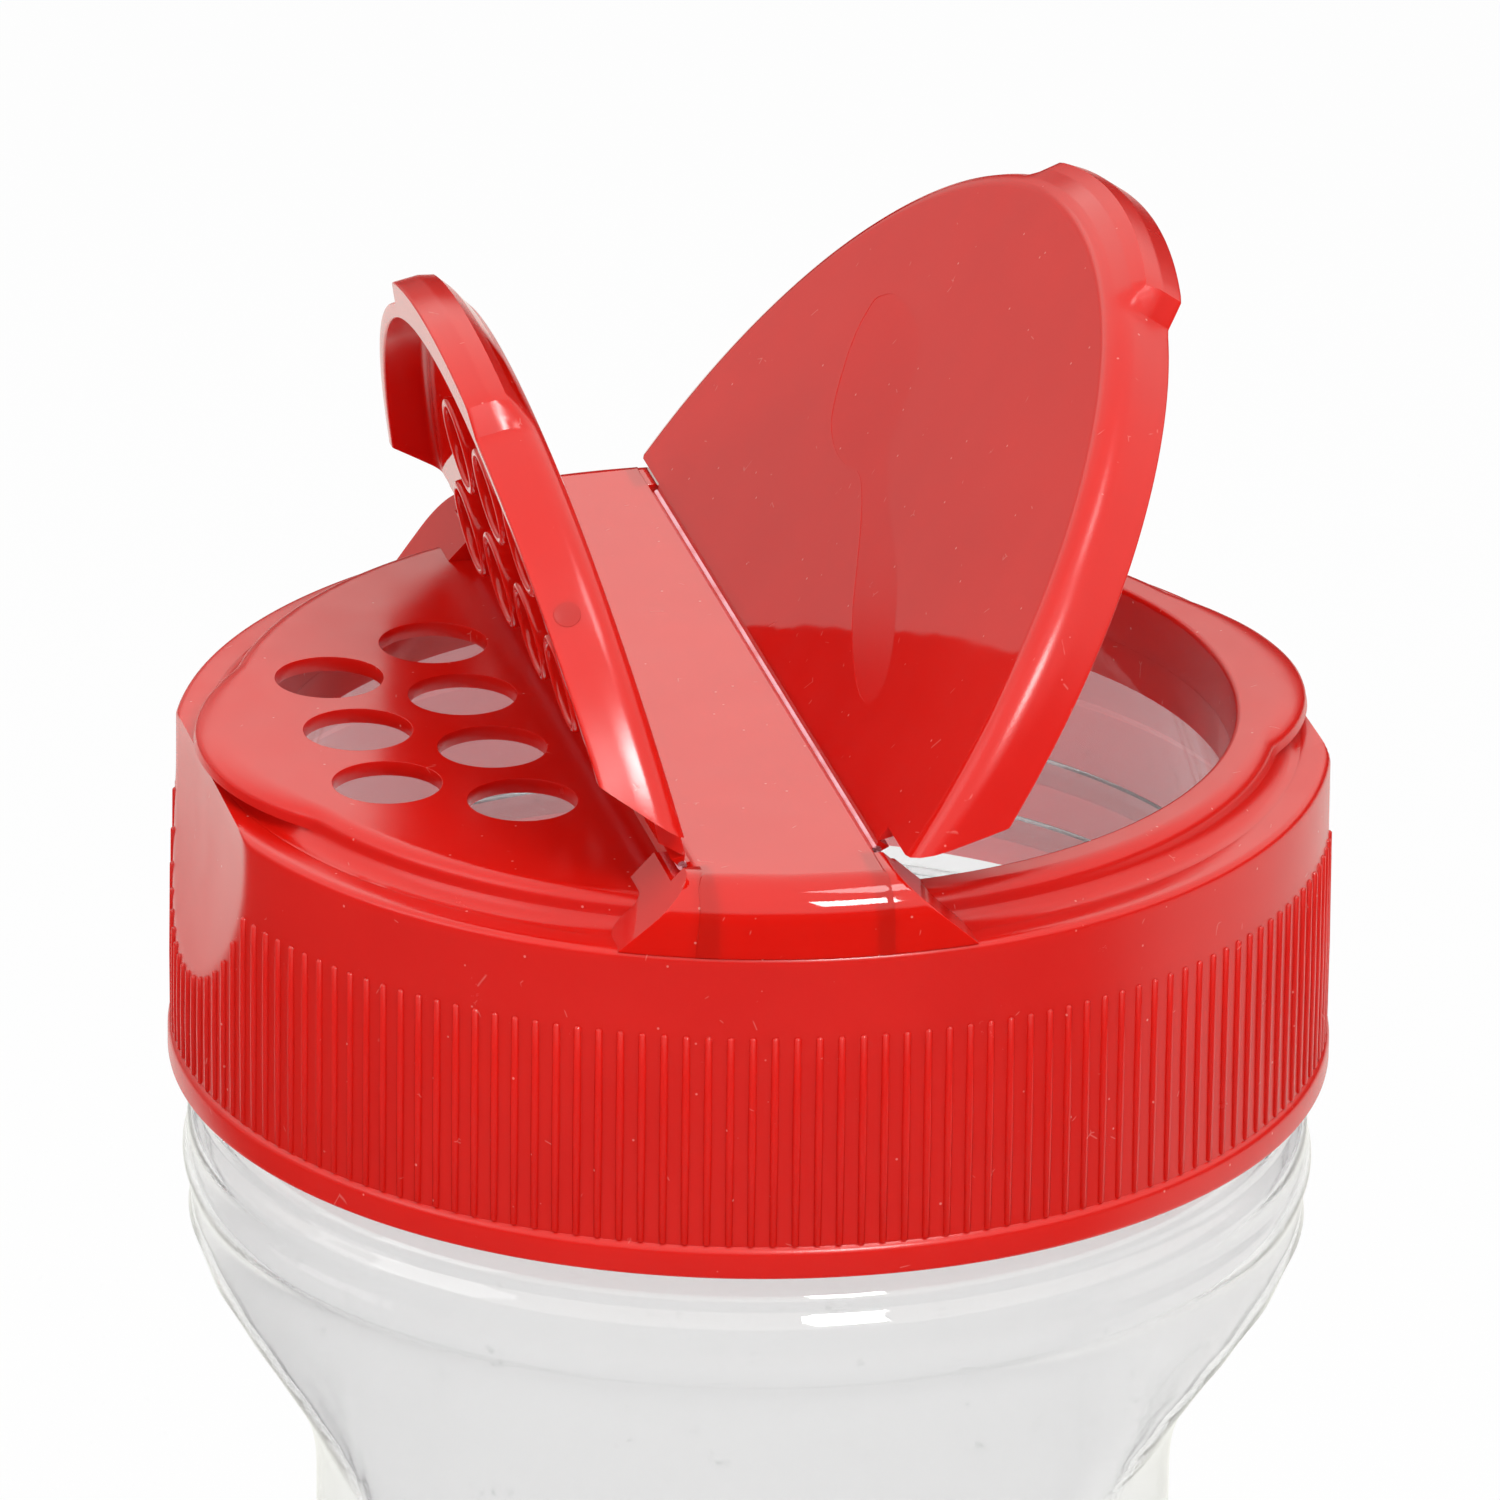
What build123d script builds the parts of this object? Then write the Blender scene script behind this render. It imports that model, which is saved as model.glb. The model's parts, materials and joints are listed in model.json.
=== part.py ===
from build123d import *
from math import acos, cos, degrees, radians, sin, sqrt
import os

os.makedirs("parts", exist_ok=True)

# Spice shaker: a blown clear jar with a pinched grip, closed by a moulded screw cap that
# carries two hinged flaps, one over seven sifting holes and one over a spooning opening.
# Millimetres, +Z up, origin at the centre of the jar's base. +X runs towards the spooning
# flap, and the cap's bridge lies along Y.

# ---------------------------------------------------------------- jar
jar_height = 136.0          # base to the bottom edge of the closed cap
body_radius = 32.8          # straight body and front panels
body_wall = 1.0             # blown wall
base_wall = 1.3
base_corner = 5.0           # outer corner radius of the base
ring_width = 2.8            # standing ring, inside the corner
push_up = 3.6               # rise of the base's centre
push_up_slope = 9.0         # width of the slope from the ring to the raised centre
shoulder_inset = 0.8        # rounded collar bulge below the cap, inside the cap's edge
shoulder_drop = 6.6         # middle of the bulge, below the cap's edge
shoulder_flat = 0.6         # height of the bulge's widest stretch
step_drop = 8.1             # ring step below the bulge
step_depth = 0.7
step_slope = 1.2
bead_drops = (4.1, 2.2)     # two soft beads between the bulge and the cap
bead_insets = (0.2, 0.85)   # each bead's crest, inside the bulge
bead_height = 0.25
bead_width = 0.85           # half width of a bead
bead_crest = 0.25           # half width of its crest
shoulder_gap = 0.7          # from the cap's edge down to the shoulder's top
neck_foot = 0.5             # slope where the neck leaves the shoulder
neck_wall = 1.1
lip_clearance = 0.05        # below the cap's sealing face

grip_angle = -15.0          # grip direction, turned from the cap's +X
grip_half = 25.2            # half width between the two pinched faces
grip_bow = 54.8             # each pinched face's radius round the jar
grip_arc = 15.5             # upper scallop of the grip
grip_drop = 22.5            # end of the upper scallop, below the cap's edge
grip_straight = 7.5         # upright part of the waist
grip_flank = 150.0          # long lower scallop
grip_spare = 2.4            # how far past the body the lower scallop is drawn

# ---------------------------------------------------------------- cap shell
cap_radius = 34.0           # plain band at the bottom edge
band_height = 1.7
band_step = 0.2             # the smooth wall stands inside the band
skirt_wall = 2.3
bore_drop = 7.3             # ledge down to where the threaded bore narrows to the neck's top
rib_count = 168
rib_drop = 4.9              # ledge down to the ribs' tops
rib_relief = 0.1            # rib crests stand inside the band
rib_depth = 0.6
rib_groove = 0.45           # width of the V between two ribs, as a share of the pitch
rib_seat = 0.3              # the ribs' ring reaches this far into the wall
ledge_round = 0.4
scoop_lead = 1.6            # ledge down to the middle of the thumb scoop
scoop_depth = 1.6
scoop_drop = 10.2           # from the scoop's middle to its tip
scoop_half = 14.0           # half length of the scoop's cutter

# ---------------------------------------------------------------- deck
ledge_width = 3.2
rim_width = 2.5
deck_height = 21.8          # sifting deck's top
deck_thickness = 0.9
deck_rise = 2.0             # ledge up to the deck
rim_drop = 3.5              # depth of the rim below the deck's top
rim_round = 0.7             # bevel of the rim's top edge
seal_depth = 2.5
seal_clearance = 0.25
seal_lead = 1.0             # height of the seal's tapered lead-in
seal_edge = 0.34            # width of its bottom edge
neck_clearance = 0.3        # neck to the cap's upper bore

hole_diameter = 6.35
hole_pitch = 8.15           # the seven holes are a triangular grid
hole_margin = 6.05          # bridge to the centres of the inner row
inner_row = 4
outer_row = 3

snap_clearance = 0.2        # crescent snap bead, at its middle, to the flap's skirt
snap_radius = 17.4
snap_height = 1.2
snap_bevel = 0.5            # off the crescent's upper and lower edge
snap_root = 0.6             # how far it reaches into the rim

# ---------------------------------------------------------------- bridge
bridge_width = 10.7
bridge_centre = -4.95       # the bridge stands nearer the sifting side
bridge_rise = 2.2           # deck up to the bridge's top
bridge_wall = 1.5
bridge_end_round = 2.4      # the bridge's ends round down to the wall
lug_flare_sift = 4.4        # the lugs widen to the ledge
lug_flare_pour = 4.9
lug_shoulder = 0.4          # flat beside the bridge's top, before a lug slopes down
lug_seat = 0.1              # hinge to the part of a lug that runs in under it

# ---------------------------------------------------------------- flaps
sift_open = 77.0            # resting angle, from closed
pour_open = 55.0
flap_thickness = 1.3
flap_wall = 0.9
flap_lift = 0.25            # skirt's edge above the ledge
flap_edge_round = 0.8       # bevel round a flap's top face
hinge_radius = 0.3          # living hinge, a bead along the bridge's edge
hinge_end_gap = 1.1         # hinge's end to where the bridge starts to round down
hinge_gap = 0.2             # bead to the flap's edge
lug_gap = 0.7               # a lug's slope to the flap's slanting edge
flap_notch = 1.2            # a flap's corners stand back from the hinge's ends
tab_depth = 1.4             # thumb tab, a thicker stretch of the skirt
tab_angle = 18.0            # half of its arc
tab_slant = 1.2             # degrees that its ends slant by
tab_drop = 0.35             # tab's top below the plate's
tab_bevel = 1.25            # slope from the tab's crest up to the plate
plug_diameter = 5.9
plug_wall = 0.9
plug_depth = 0.6            # below the deck's top, flap closed
pour_rib_gap = 0.5
pour_rib_wall = 1.0
pour_rib_depth = 0.9

# ---------------------------------------------------------------- what follows from them
skirt_height = deck_height - deck_rise   # bottom edge to the ledge
bore_step = skirt_height - bore_drop
rib_top = skirt_height - rib_drop
scoop_height = skirt_height - scoop_lead
bridge_top = deck_height + bridge_rise
skirt_radius = cap_radius - band_step
skirt_bore = skirt_radius - skirt_wall
rim_radius = skirt_radius - ledge_width
opening_radius = rim_radius - rim_width
neck_radius = rim_radius - neck_clearance
neck_bore = neck_radius - neck_wall
seal_radius = neck_bore - seal_clearance
tab_radius = skirt_radius + tab_depth
snap_reach = skirt_radius - flap_wall - snap_clearance
rib_tip = cap_radius - rib_relief
rib_root = rib_tip - rib_depth

inner_radius = body_radius - body_wall
shoulder_radius = cap_radius - shoulder_inset
base_ring = body_radius - base_corner - ring_width
grip_shift = grip_bow - grip_half        # the pinched faces bow round axes set this far across
grip_out = body_radius + grip_shift + grip_spare

edge_z = jar_height                      # the cap's bottom edge
neck_foot_z = edge_z - shoulder_gap
shoulder_z = edge_z - shoulder_drop
step_z = edge_z - step_drop
scallop_z = edge_z - grip_drop
flank_z = scallop_z - grip_straight
ledge_z = edge_z + skirt_height
deck_z = edge_z + deck_height
rim_z = deck_z - rim_drop                # sealing face over the jar's lip
top_z = edge_z + bridge_top
lip_z = rim_z - lip_clearance

bridge_sift = bridge_centre - bridge_width / 2
bridge_pour = bridge_centre + bridge_width / 2
hinge_z = top_z - hinge_radius
hinge_half = sqrt((skirt_radius - bridge_end_round) ** 2 - bridge_sift**2) - hinge_end_gap
sift_hinge_x = bridge_sift - hinge_radius
pour_hinge_x = bridge_pour + hinge_radius

hole_centres = [
    (bridge_sift - hole_margin - row * hole_pitch * sqrt(3) / 2, (i - (count - 1) / 2) * hole_pitch)
    for row, count in enumerate((inner_row, outer_row))
    for i in range(count)
]


def flap_frame(hinge_x, side, angle):
    """Plane of a flap at its hinge: x along the flap, z out of its top face."""
    a = radians(angle)
    return Plane(
        origin=(hinge_x, 0, hinge_z),
        x_dir=(side * cos(a), 0, sin(a)),
        z_dir=(-side * sin(a), 0, cos(a)),
    )


def flap_section(frame):
    """Plane across a flap: x along the flap, y out of its top face."""
    return Plane(origin=frame.origin, x_dir=frame.x_dir, z_dir=frame.x_dir.cross(frame.z_dir))


def grip_frame(side):
    """Upright plane through the axis that one pinched face bows round, x towards that face."""
    a = radians(grip_angle)
    e = Vector(side * cos(a), side * sin(a), 0)
    return Plane(origin=e * -grip_shift, x_dir=e, z_dir=e.cross(Vector(0, 0, 1)))


def steps_along(centre, radius, start, size, count):
    """Points that follow an arc in straight steps, angles in degrees."""
    angles = [radians(start + size * i / count) for i in range(count + 1)]
    return [(centre[0] + radius * cos(a), centre[1] + radius * sin(a)) for a in angles]


def grip_outline(side, inset, scallop_steps=0, flank_steps=0):
    """What one pinched face leaves standing, from its axis out: scallop, upright waist and flank.

    The jar's inside takes the wall as its inset and follows both arcs in straight steps.
    """
    scallop = ((grip_bow + grip_arc, scallop_z), grip_arc + inset, 90, 90)
    flank_radius = grip_flank + inset
    flank_sweep = degrees(acos((grip_bow + grip_flank - grip_out) / flank_radius))
    flank = ((grip_bow + grip_flank, flank_z), flank_radius, 180, flank_sweep)
    with BuildSketch(grip_frame(side)) as outline:
        with BuildLine():
            if scallop_steps:
                upper = Polyline(*steps_along(*scallop, scallop_steps))
                lower = Polyline(*steps_along(*flank, flank_steps))
            else:
                upper = CenterArc(*scallop)
                lower = CenterArc(*flank)
            Line(upper @ 1, lower @ 0)
            Polyline(
                lower @ 1,
                (grip_out, -grip_spare),
                (0, -grip_spare),
                (0, lip_z + grip_spare),
                (grip_bow + grip_arc, lip_z + grip_spare),
                upper @ 0,
            )
        make_face()
    return outline.sketch


# ---------------------------------------------------------------- jar cavity
inner_corner = base_corner - body_wall
with BuildPart() as jar_cavity:
    with BuildSketch(Plane.XZ):
        with BuildLine():
            corner = steps_along(
                (inner_radius - inner_corner, base_wall + inner_corner), inner_corner, -90, 90, 2
            )
            Polyline(
                (0, base_wall + push_up),
                (base_ring - push_up_slope, base_wall + push_up),
                (base_ring, base_wall),
                *corner,
                (inner_radius, step_z - step_slope),
                (inner_radius - step_depth, step_z),
                (shoulder_radius - body_wall, shoulder_z),
                (shoulder_radius - body_wall, shoulder_z + shoulder_flat),
                (neck_bore, neck_foot_z - neck_foot),
                (neck_bore, lip_z + lip_clearance),
                (0, lip_z + lip_clearance),
                close=True,
            )
        make_face()
    revolve(axis=Axis.Z)
    for side in (-1, 1):
        revolve(
            grip_outline(side, body_wall, scallop_steps=5, flank_steps=4),
            axis=Axis(grip_frame(side).origin, (0, 0, 1)),
            mode=Mode.INTERSECT,
        )

# ---------------------------------------------------------------- jar
with BuildPart() as jar:
    with BuildSketch(Plane.XZ):
        with BuildLine():
            base = Polyline(
                (0, push_up),
                (base_ring - push_up_slope, push_up),
                (base_ring, 0),
                (body_radius - base_corner, 0),
            )
            corner = RadiusArc(base @ 1, (body_radius, base_corner), -base_corner)
            beads = []
            for drop, bead_inset in zip(bead_drops, bead_insets):
                crest = shoulder_radius - bead_inset
                beads += [
                    (crest - bead_height, edge_z - drop - bead_width),
                    (crest, edge_z - drop - bead_crest),
                    (crest, edge_z - drop + bead_crest),
                ]
            Polyline(
                corner @ 1,
                (body_radius, step_z - step_slope),
                (body_radius - step_depth, step_z),
                (shoulder_radius, shoulder_z - shoulder_flat / 2),
                (shoulder_radius, shoulder_z + shoulder_flat / 2),
                *beads,
                (crest - 2 * bead_height, edge_z - drop + bead_width),
                (neck_radius + neck_foot, neck_foot_z),
                (neck_radius, neck_foot_z + neck_foot),
                (neck_radius, lip_z),
                (0, lip_z),
                base @ 0,
            )
        make_face()
    revolve(axis=Axis.Z)
    for side in (-1, 1):
        revolve(
            grip_outline(side, 0),
            axis=Axis(grip_frame(side).origin, (0, 0, 1)),
            mode=Mode.INTERSECT,
        )
    add(jar_cavity.part, mode=Mode.SUBTRACT)
jar.part.label = "jar"
export_step(jar.part, "parts/jar.step")

# ---------------------------------------------------------------- cap skirt
# Plain band, ribbed grip and smooth wall, closed at the top by the ledge.
groove_half = rib_tip * radians(360.0 / rib_count) * rib_groove
with BuildPart() as cap_skirt:
    with BuildSketch(Plane.XZ):
        with BuildLine():
            Polyline(
                (skirt_bore, edge_z),
                (cap_radius, edge_z),
                (cap_radius, edge_z + band_height),
                (rib_root - rib_seat, edge_z + band_height),
                (rib_root - rib_seat, edge_z + rib_top),
                (skirt_radius, edge_z + rib_top),
                (skirt_radius, ledge_z),
                (rim_radius, ledge_z),
                (rim_radius, edge_z + bore_step),
                (skirt_bore, edge_z + bore_step - (skirt_bore - rim_radius)),
                (skirt_bore, edge_z),
            )
        make_face()
    revolve(axis=Axis.Z)
    chamfer(
        cap_skirt.edges().filter_by(GeomType.CIRCLE).group_by(Axis.Z)[-1].sort_by(SortBy.RADIUS)[-1],
        ledge_round,
    )
    with BuildSketch(Plane.XY.offset(edge_z + band_height)):
        RegularPolygon(rib_tip, rib_count)
        with PolarLocations(rib_tip, rib_count):
            Polygon(
                (rib_depth, -groove_half),
                (-rib_depth, 0),
                (rib_depth, groove_half),
                align=None,
                mode=Mode.SUBTRACT,
            )
        Circle(rib_root - 2 * rib_seat, mode=Mode.SUBTRACT)
    extrude(amount=rib_top - band_height)
    scoop_round = scoop_drop**2 / (2 * scoop_depth)
    for side in (-1, 1):
        with BuildSketch(Plane.XZ):
            with Locations((side * (skirt_radius - scoop_depth + scoop_round), edge_z + scoop_height)):
                Circle(scoop_round)
        extrude(amount=scoop_half, both=True, mode=Mode.SUBTRACT)
cap_skirt.part.label = "cap_skirt"
export_step(cap_skirt.part, "parts/cap_skirt.step")

# ---------------------------------------------------------------- bridge
# The bar between the two openings. Its ends flare down to the ledge as lugs, which run in
# over the rim, under the hinges.
with BuildPart() as lug_room:
    with BuildSketch(Plane.XY.offset(ledge_z)):
        Circle(skirt_radius)
        Circle(rim_radius, mode=Mode.SUBTRACT)
    extrude(amount=top_z - ledge_z)
    with BuildSketch(Plane.XY.offset(deck_z)):
        Circle(rim_radius)
        Circle(opening_radius, mode=Mode.SUBTRACT)
    extrude(amount=hinge_z - hinge_radius - lug_seat - deck_z)

with BuildPart() as bridge_lugs:
    with BuildSketch(Plane.XZ):
        Polygon(
            (bridge_sift - lug_flare_sift, ledge_z),
            (bridge_pour + lug_flare_pour, ledge_z),
            (bridge_pour + lug_shoulder, top_z),
            (bridge_sift - lug_shoulder, top_z),
            align=None,
        )
    extrude(amount=cap_radius, both=True)
    add(lug_room.part, mode=Mode.INTERSECT)

with BuildPart() as bridge:
    with BuildSketch(Plane.XY.offset(rim_z)):
        Circle(rim_radius)
        with Locations((bridge_centre, 0)):
            Rectangle(bridge_width, 2 * cap_radius, mode=Mode.INTERSECT)
    extrude(amount=top_z - rim_z)
    add(bridge_lugs.part)
    fillet(
        bridge.edges().filter_by(GeomType.CIRCLE).group_by(Axis.Z)[-1].group_by(SortBy.RADIUS)[-1],
        bridge_end_round,
    )
    with BuildSketch(Plane.XY.offset(rim_z)):
        with Locations((bridge_centre, 0)):
            Rectangle(bridge_width - 2 * bridge_wall, 2 * (opening_radius - bridge_wall))
    extrude(amount=top_z - rim_z - bridge_wall, mode=Mode.SUBTRACT)
bridge.part.label = "bridge"
export_step(bridge.part, "parts/bridge.step")

# ---------------------------------------------------------------- snap beads
# A crescent on each side of the raised rim. The flap's edge closes over it.
with BuildPart() as snap_beads:
    for side in (-1, 1):
        with BuildSketch(Plane.XY.offset(deck_z - snap_height)):
            with Locations((side * (snap_reach - snap_radius), 0)):
                Circle(snap_radius)
            Circle(rim_radius - snap_root, mode=Mode.SUBTRACT)
            with Locations((-side * cap_radius, 0)):
                Rectangle(2 * cap_radius, 2 * cap_radius, mode=Mode.SUBTRACT)
        extrude(amount=snap_height)
    chamfer(
        snap_beads.faces().sort_by(Axis.Z)[-2:].edges().filter_by(
            lambda e: e.geom_type == GeomType.CIRCLE and abs(e.radius - snap_radius) < 0.01
        ),
        snap_bevel,
    )

# ---------------------------------------------------------------- sifting deck
# The raised deck left of the bridge, with seven holes and its share of the rim.
with BuildPart() as sift_deck:
    with BuildSketch(Plane.XY.offset(rim_z)):
        Circle(rim_radius)
    extrude(amount=deck_z - rim_z)
    chamfer(sift_deck.edges().group_by(Axis.Z)[-1], rim_round)
    add(snap_beads.part)
    with BuildSketch(Plane.XY.offset(rim_z)):
        Circle(opening_radius)
    extrude(amount=rim_drop - deck_thickness, mode=Mode.SUBTRACT)
    with BuildSketch(Plane.XY.offset(rim_z)):
        with Locations((bridge_sift, 0)):
            Rectangle(3 * cap_radius, 3 * cap_radius, align=(Align.MIN, Align.CENTER))
    extrude(amount=bridge_top, mode=Mode.SUBTRACT)
    with BuildSketch(Plane.XY.offset(rim_z)):
        with Locations(*hole_centres):
            Circle(hole_diameter / 2)
    extrude(amount=bridge_top, mode=Mode.SUBTRACT)
sift_deck.part.label = "sift_deck"
export_step(sift_deck.part, "parts/sift_deck.step")

# ---------------------------------------------------------------- spooning rim
# The raised rim right of the bridge, round the D-shaped opening.
with BuildPart() as spoon_rim:
    with BuildSketch(Plane.XY.offset(rim_z)):
        Circle(rim_radius)
    extrude(amount=deck_z - rim_z)
    chamfer(spoon_rim.edges().group_by(Axis.Z)[-1], rim_round)
    add(snap_beads.part)
    with BuildSketch(Plane.XY.offset(rim_z)):
        Circle(opening_radius)
    extrude(amount=bridge_top, mode=Mode.SUBTRACT)
    with BuildSketch(Plane.XY.offset(rim_z)):
        with Locations((bridge_pour, 0)):
            Rectangle(3 * cap_radius, 3 * cap_radius, align=(Align.MAX, Align.CENTER))
    extrude(amount=bridge_top, mode=Mode.SUBTRACT)
spoon_rim.part.label = "spoon_rim"
export_step(spoon_rim.part, "parts/spoon_rim.step")

# ---------------------------------------------------------------- seal ring
# Plug seal under the rim, inside the jar's lip.
with BuildPart() as seal_ring:
    with BuildSketch(Plane.XY.offset(rim_z - seal_depth)):
        Circle(seal_radius)
        Circle(opening_radius, mode=Mode.SUBTRACT)
    extrude(amount=seal_depth)
    chamfer(
        seal_ring.edges().group_by(Axis.Z)[0].sort_by(SortBy.RADIUS)[-1],
        length=seal_lead,
        length2=seal_radius - opening_radius - seal_edge,
    )
seal_ring.part.label = "seal_ring"
export_step(seal_ring.part, "parts/seal_ring.step")

# ---------------------------------------------------------------- living hinges
with BuildPart() as sift_hinge:
    with BuildSketch(Plane.XZ):
        with Locations((sift_hinge_x, hinge_z)):
            Circle(hinge_radius)
            Rectangle(hinge_radius, 2 * hinge_radius, align=(Align.MIN, Align.CENTER))
    extrude(amount=hinge_half, both=True)
sift_hinge.part.label = "sift_hinge"
export_step(sift_hinge.part, "parts/sift_hinge.step")

with BuildPart() as spoon_hinge:
    with BuildSketch(Plane.XZ):
        with Locations((pour_hinge_x, hinge_z)):
            Circle(hinge_radius)
            Rectangle(hinge_radius, 2 * hinge_radius, align=(Align.MAX, Align.CENTER))
    extrude(amount=hinge_half, both=True)
spoon_hinge.part.label = "spoon_hinge"
export_step(spoon_hinge.part, "parts/spoon_hinge.step")

# ---------------------------------------------------------------- flaps
# Each is drawn in its own frame: x from the hinge to the tip, z out of the top face.
face_w = hinge_radius                      # top face above the hinge's axis
under_w = face_w - flap_thickness
skirt_w = ledge_z + flap_lift - hinge_z
hinge_u = hinge_radius + hinge_gap


# The thumb tab's outline round the cap's axis. Its ends slant towards the skirt.
crest = Vector(tab_radius, 0, 0).rotate(Axis.Z, tab_angle)
root = Vector(skirt_radius, 0, 0).rotate(Axis.Z, tab_angle + tab_slant)
outer = crest * 2 - root
with BuildSketch() as tab_outline:
    Circle(tab_radius)
    Polygon(
        (0, 0), (root.X, -root.Y), (outer.X, -outer.Y), (outer.X, outer.Y), (root.X, root.Y),
        align=None, mode=Mode.INTERSECT,
    )


def thumb_tab(frame, axis_u):
    """The thicker stretch of a flap's skirt, its upper edge sloping into the plate."""
    with BuildPart() as tab:
        with BuildSketch(frame.offset(skirt_w)):
            with Locations((axis_u, 0)):
                add(tab_outline.sketch)
                Rectangle(rim_radius, 2 * cap_radius, align=(Align.MIN, Align.CENTER), mode=Mode.SUBTRACT)
        extrude(amount=face_w - tab_drop - skirt_w)
        rims = tab.edges().filter_by(GeomType.CIRCLE).sort_by(Axis(frame.origin, frame.z_dir))
        chamfer(rims[-1], length=tab_bevel)
    return tab.part


def flap_shell(frame, axis_u, lug_flare):
    """Plate, skirt and thumb tab of a flap, cut slanting to clear the bridge's lugs.

    Beyond the hinge's ends its corners stand back further.
    """
    tab = thumb_tab(frame, axis_u)
    with BuildPart() as shell:
        with BuildSketch(frame.offset(skirt_w)):
            with Locations((axis_u, 0)):
                Circle(skirt_radius)
            with Locations((hinge_u, 0)):
                Rectangle(
                    2 * cap_radius, 3 * cap_radius,
                    align=(Align.MIN, Align.CENTER), mode=Mode.INTERSECT,
                )
        extrude(amount=face_w - skirt_w)
        top = shell.faces().sort_by(Axis(frame.origin, frame.z_dir))[-1]
        chamfer(top.edges().filter_by(GeomType.CIRCLE), flap_edge_round)
        add(tab)
        with BuildSketch(frame.offset(skirt_w)):
            with Locations((axis_u, 0)):
                Circle(skirt_radius - flap_wall)
        extrude(amount=under_w - skirt_w, mode=Mode.SUBTRACT)
        edge = lug_gap - hinge_radius
        for start, reach in ((edge, 0), (edge + flap_notch, hinge_half + hinge_gap)):
            for side in (-1, 1):
                with BuildSketch(flap_section(frame).offset(side * reach)):
                    Polygon(
                        (-2 * lug_flare, face_w + flap_thickness),
                        (start, face_w + flap_thickness),
                        (start, face_w),
                        (start + lug_flare, ledge_z - hinge_z),
                        (-2 * lug_flare, ledge_z - hinge_z),
                        align=None,
                    )
                extrude(amount=side * 2 * cap_radius, mode=Mode.SUBTRACT)
    return shell.part


# ---------------------------------------------------------------- sifting flap
# Seven ring plugs on its underside enter the holes when it closes.
sift_frame = flap_frame(sift_hinge_x, -1, sift_open)
plug_w = deck_z - plug_depth - hinge_z
with BuildPart() as sift_flap:
    add(flap_shell(sift_frame, sift_hinge_x, lug_flare_sift))
    with BuildSketch(sift_frame.offset(plug_w)):
        with Locations(*[(sift_hinge_x - x, y) for x, y in hole_centres]):
            Circle(plug_diameter / 2)
            Circle(plug_diameter / 2 - plug_wall, mode=Mode.SUBTRACT)
    extrude(amount=under_w - plug_w)
sift_flap.part.label = "sift_flap"
export_step(sift_flap.part, "parts/sift_flap.step")

# ---------------------------------------------------------------- spooning flap
# A D-shaped rib on its underside enters the opening when it closes.
spoon_frame = flap_frame(pour_hinge_x, 1, pour_open)
rib_w = deck_z - pour_rib_depth - hinge_z
rib_r = opening_radius - pour_rib_gap
rib_u = hinge_u + pour_rib_gap
with BuildPart() as spoon_flap:
    add(flap_shell(spoon_frame, -pour_hinge_x, lug_flare_pour))
    with BuildSketch(spoon_frame.offset(rib_w)):
        with Locations((-pour_hinge_x, 0)):
            Circle(rib_r)
        with Locations((rib_u, 0)):
            Rectangle(
                2 * cap_radius, 2 * cap_radius, align=(Align.MIN, Align.CENTER), mode=Mode.INTERSECT
            )
        offset(amount=-pour_rib_wall, kind=Kind.INTERSECTION, mode=Mode.SUBTRACT)
    extrude(amount=under_w - rib_w)
spoon_flap.part.label = "spoon_flap"
export_step(spoon_flap.part, "parts/spoon_flap.step")
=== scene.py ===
"""Looks of a spice shaker: a clear pinch-grip jar and its red screw cap with two hinged flaps."""

import json
import logging
from contextlib import contextmanager
from dataclasses import dataclass, field
from enum import Enum
from math import asin, atan2, cos, degrees, hypot, pi, radians, sin, sqrt
from typing import Callable, Iterator, Optional, Sequence

import bmesh
import bpy
from mathutils import Matrix, Vector


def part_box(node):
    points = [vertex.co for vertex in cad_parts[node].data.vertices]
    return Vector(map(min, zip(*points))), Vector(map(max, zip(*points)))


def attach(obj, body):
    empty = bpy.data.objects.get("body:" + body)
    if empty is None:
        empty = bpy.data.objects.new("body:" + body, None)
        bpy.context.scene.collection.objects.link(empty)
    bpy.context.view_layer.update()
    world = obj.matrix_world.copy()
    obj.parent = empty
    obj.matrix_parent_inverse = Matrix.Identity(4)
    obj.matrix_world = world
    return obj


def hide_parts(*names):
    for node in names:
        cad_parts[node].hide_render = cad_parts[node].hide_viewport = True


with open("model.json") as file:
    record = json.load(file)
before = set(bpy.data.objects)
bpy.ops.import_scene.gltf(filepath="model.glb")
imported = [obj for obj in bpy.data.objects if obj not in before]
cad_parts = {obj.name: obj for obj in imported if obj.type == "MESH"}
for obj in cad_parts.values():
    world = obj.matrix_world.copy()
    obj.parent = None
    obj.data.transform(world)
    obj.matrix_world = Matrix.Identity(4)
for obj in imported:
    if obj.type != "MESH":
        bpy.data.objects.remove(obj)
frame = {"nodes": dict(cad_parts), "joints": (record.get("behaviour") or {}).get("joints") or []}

MM = 0.001
SPARE = 1 * MM  # how far a cutting body reaches past what it cuts
AT_SPOT = 0.01 * MM  # a corner is found this near its place
WELD = 0.002 * MM  # points nearer than this are merged in a turned piece
FLAT_WELD = 0.004 * MM  # and in a cut one, before its flat faces are merged
LOG = logging.getLogger("spice_shaker")

Point = tuple[float, float]
Mesh = bpy.types.Object
Face = bpy.types.MeshPolygon
Node = bpy.types.Node
Socket = bpy.types.NodeSocket
Shaded = bpy.types.Material | bpy.types.World


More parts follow.
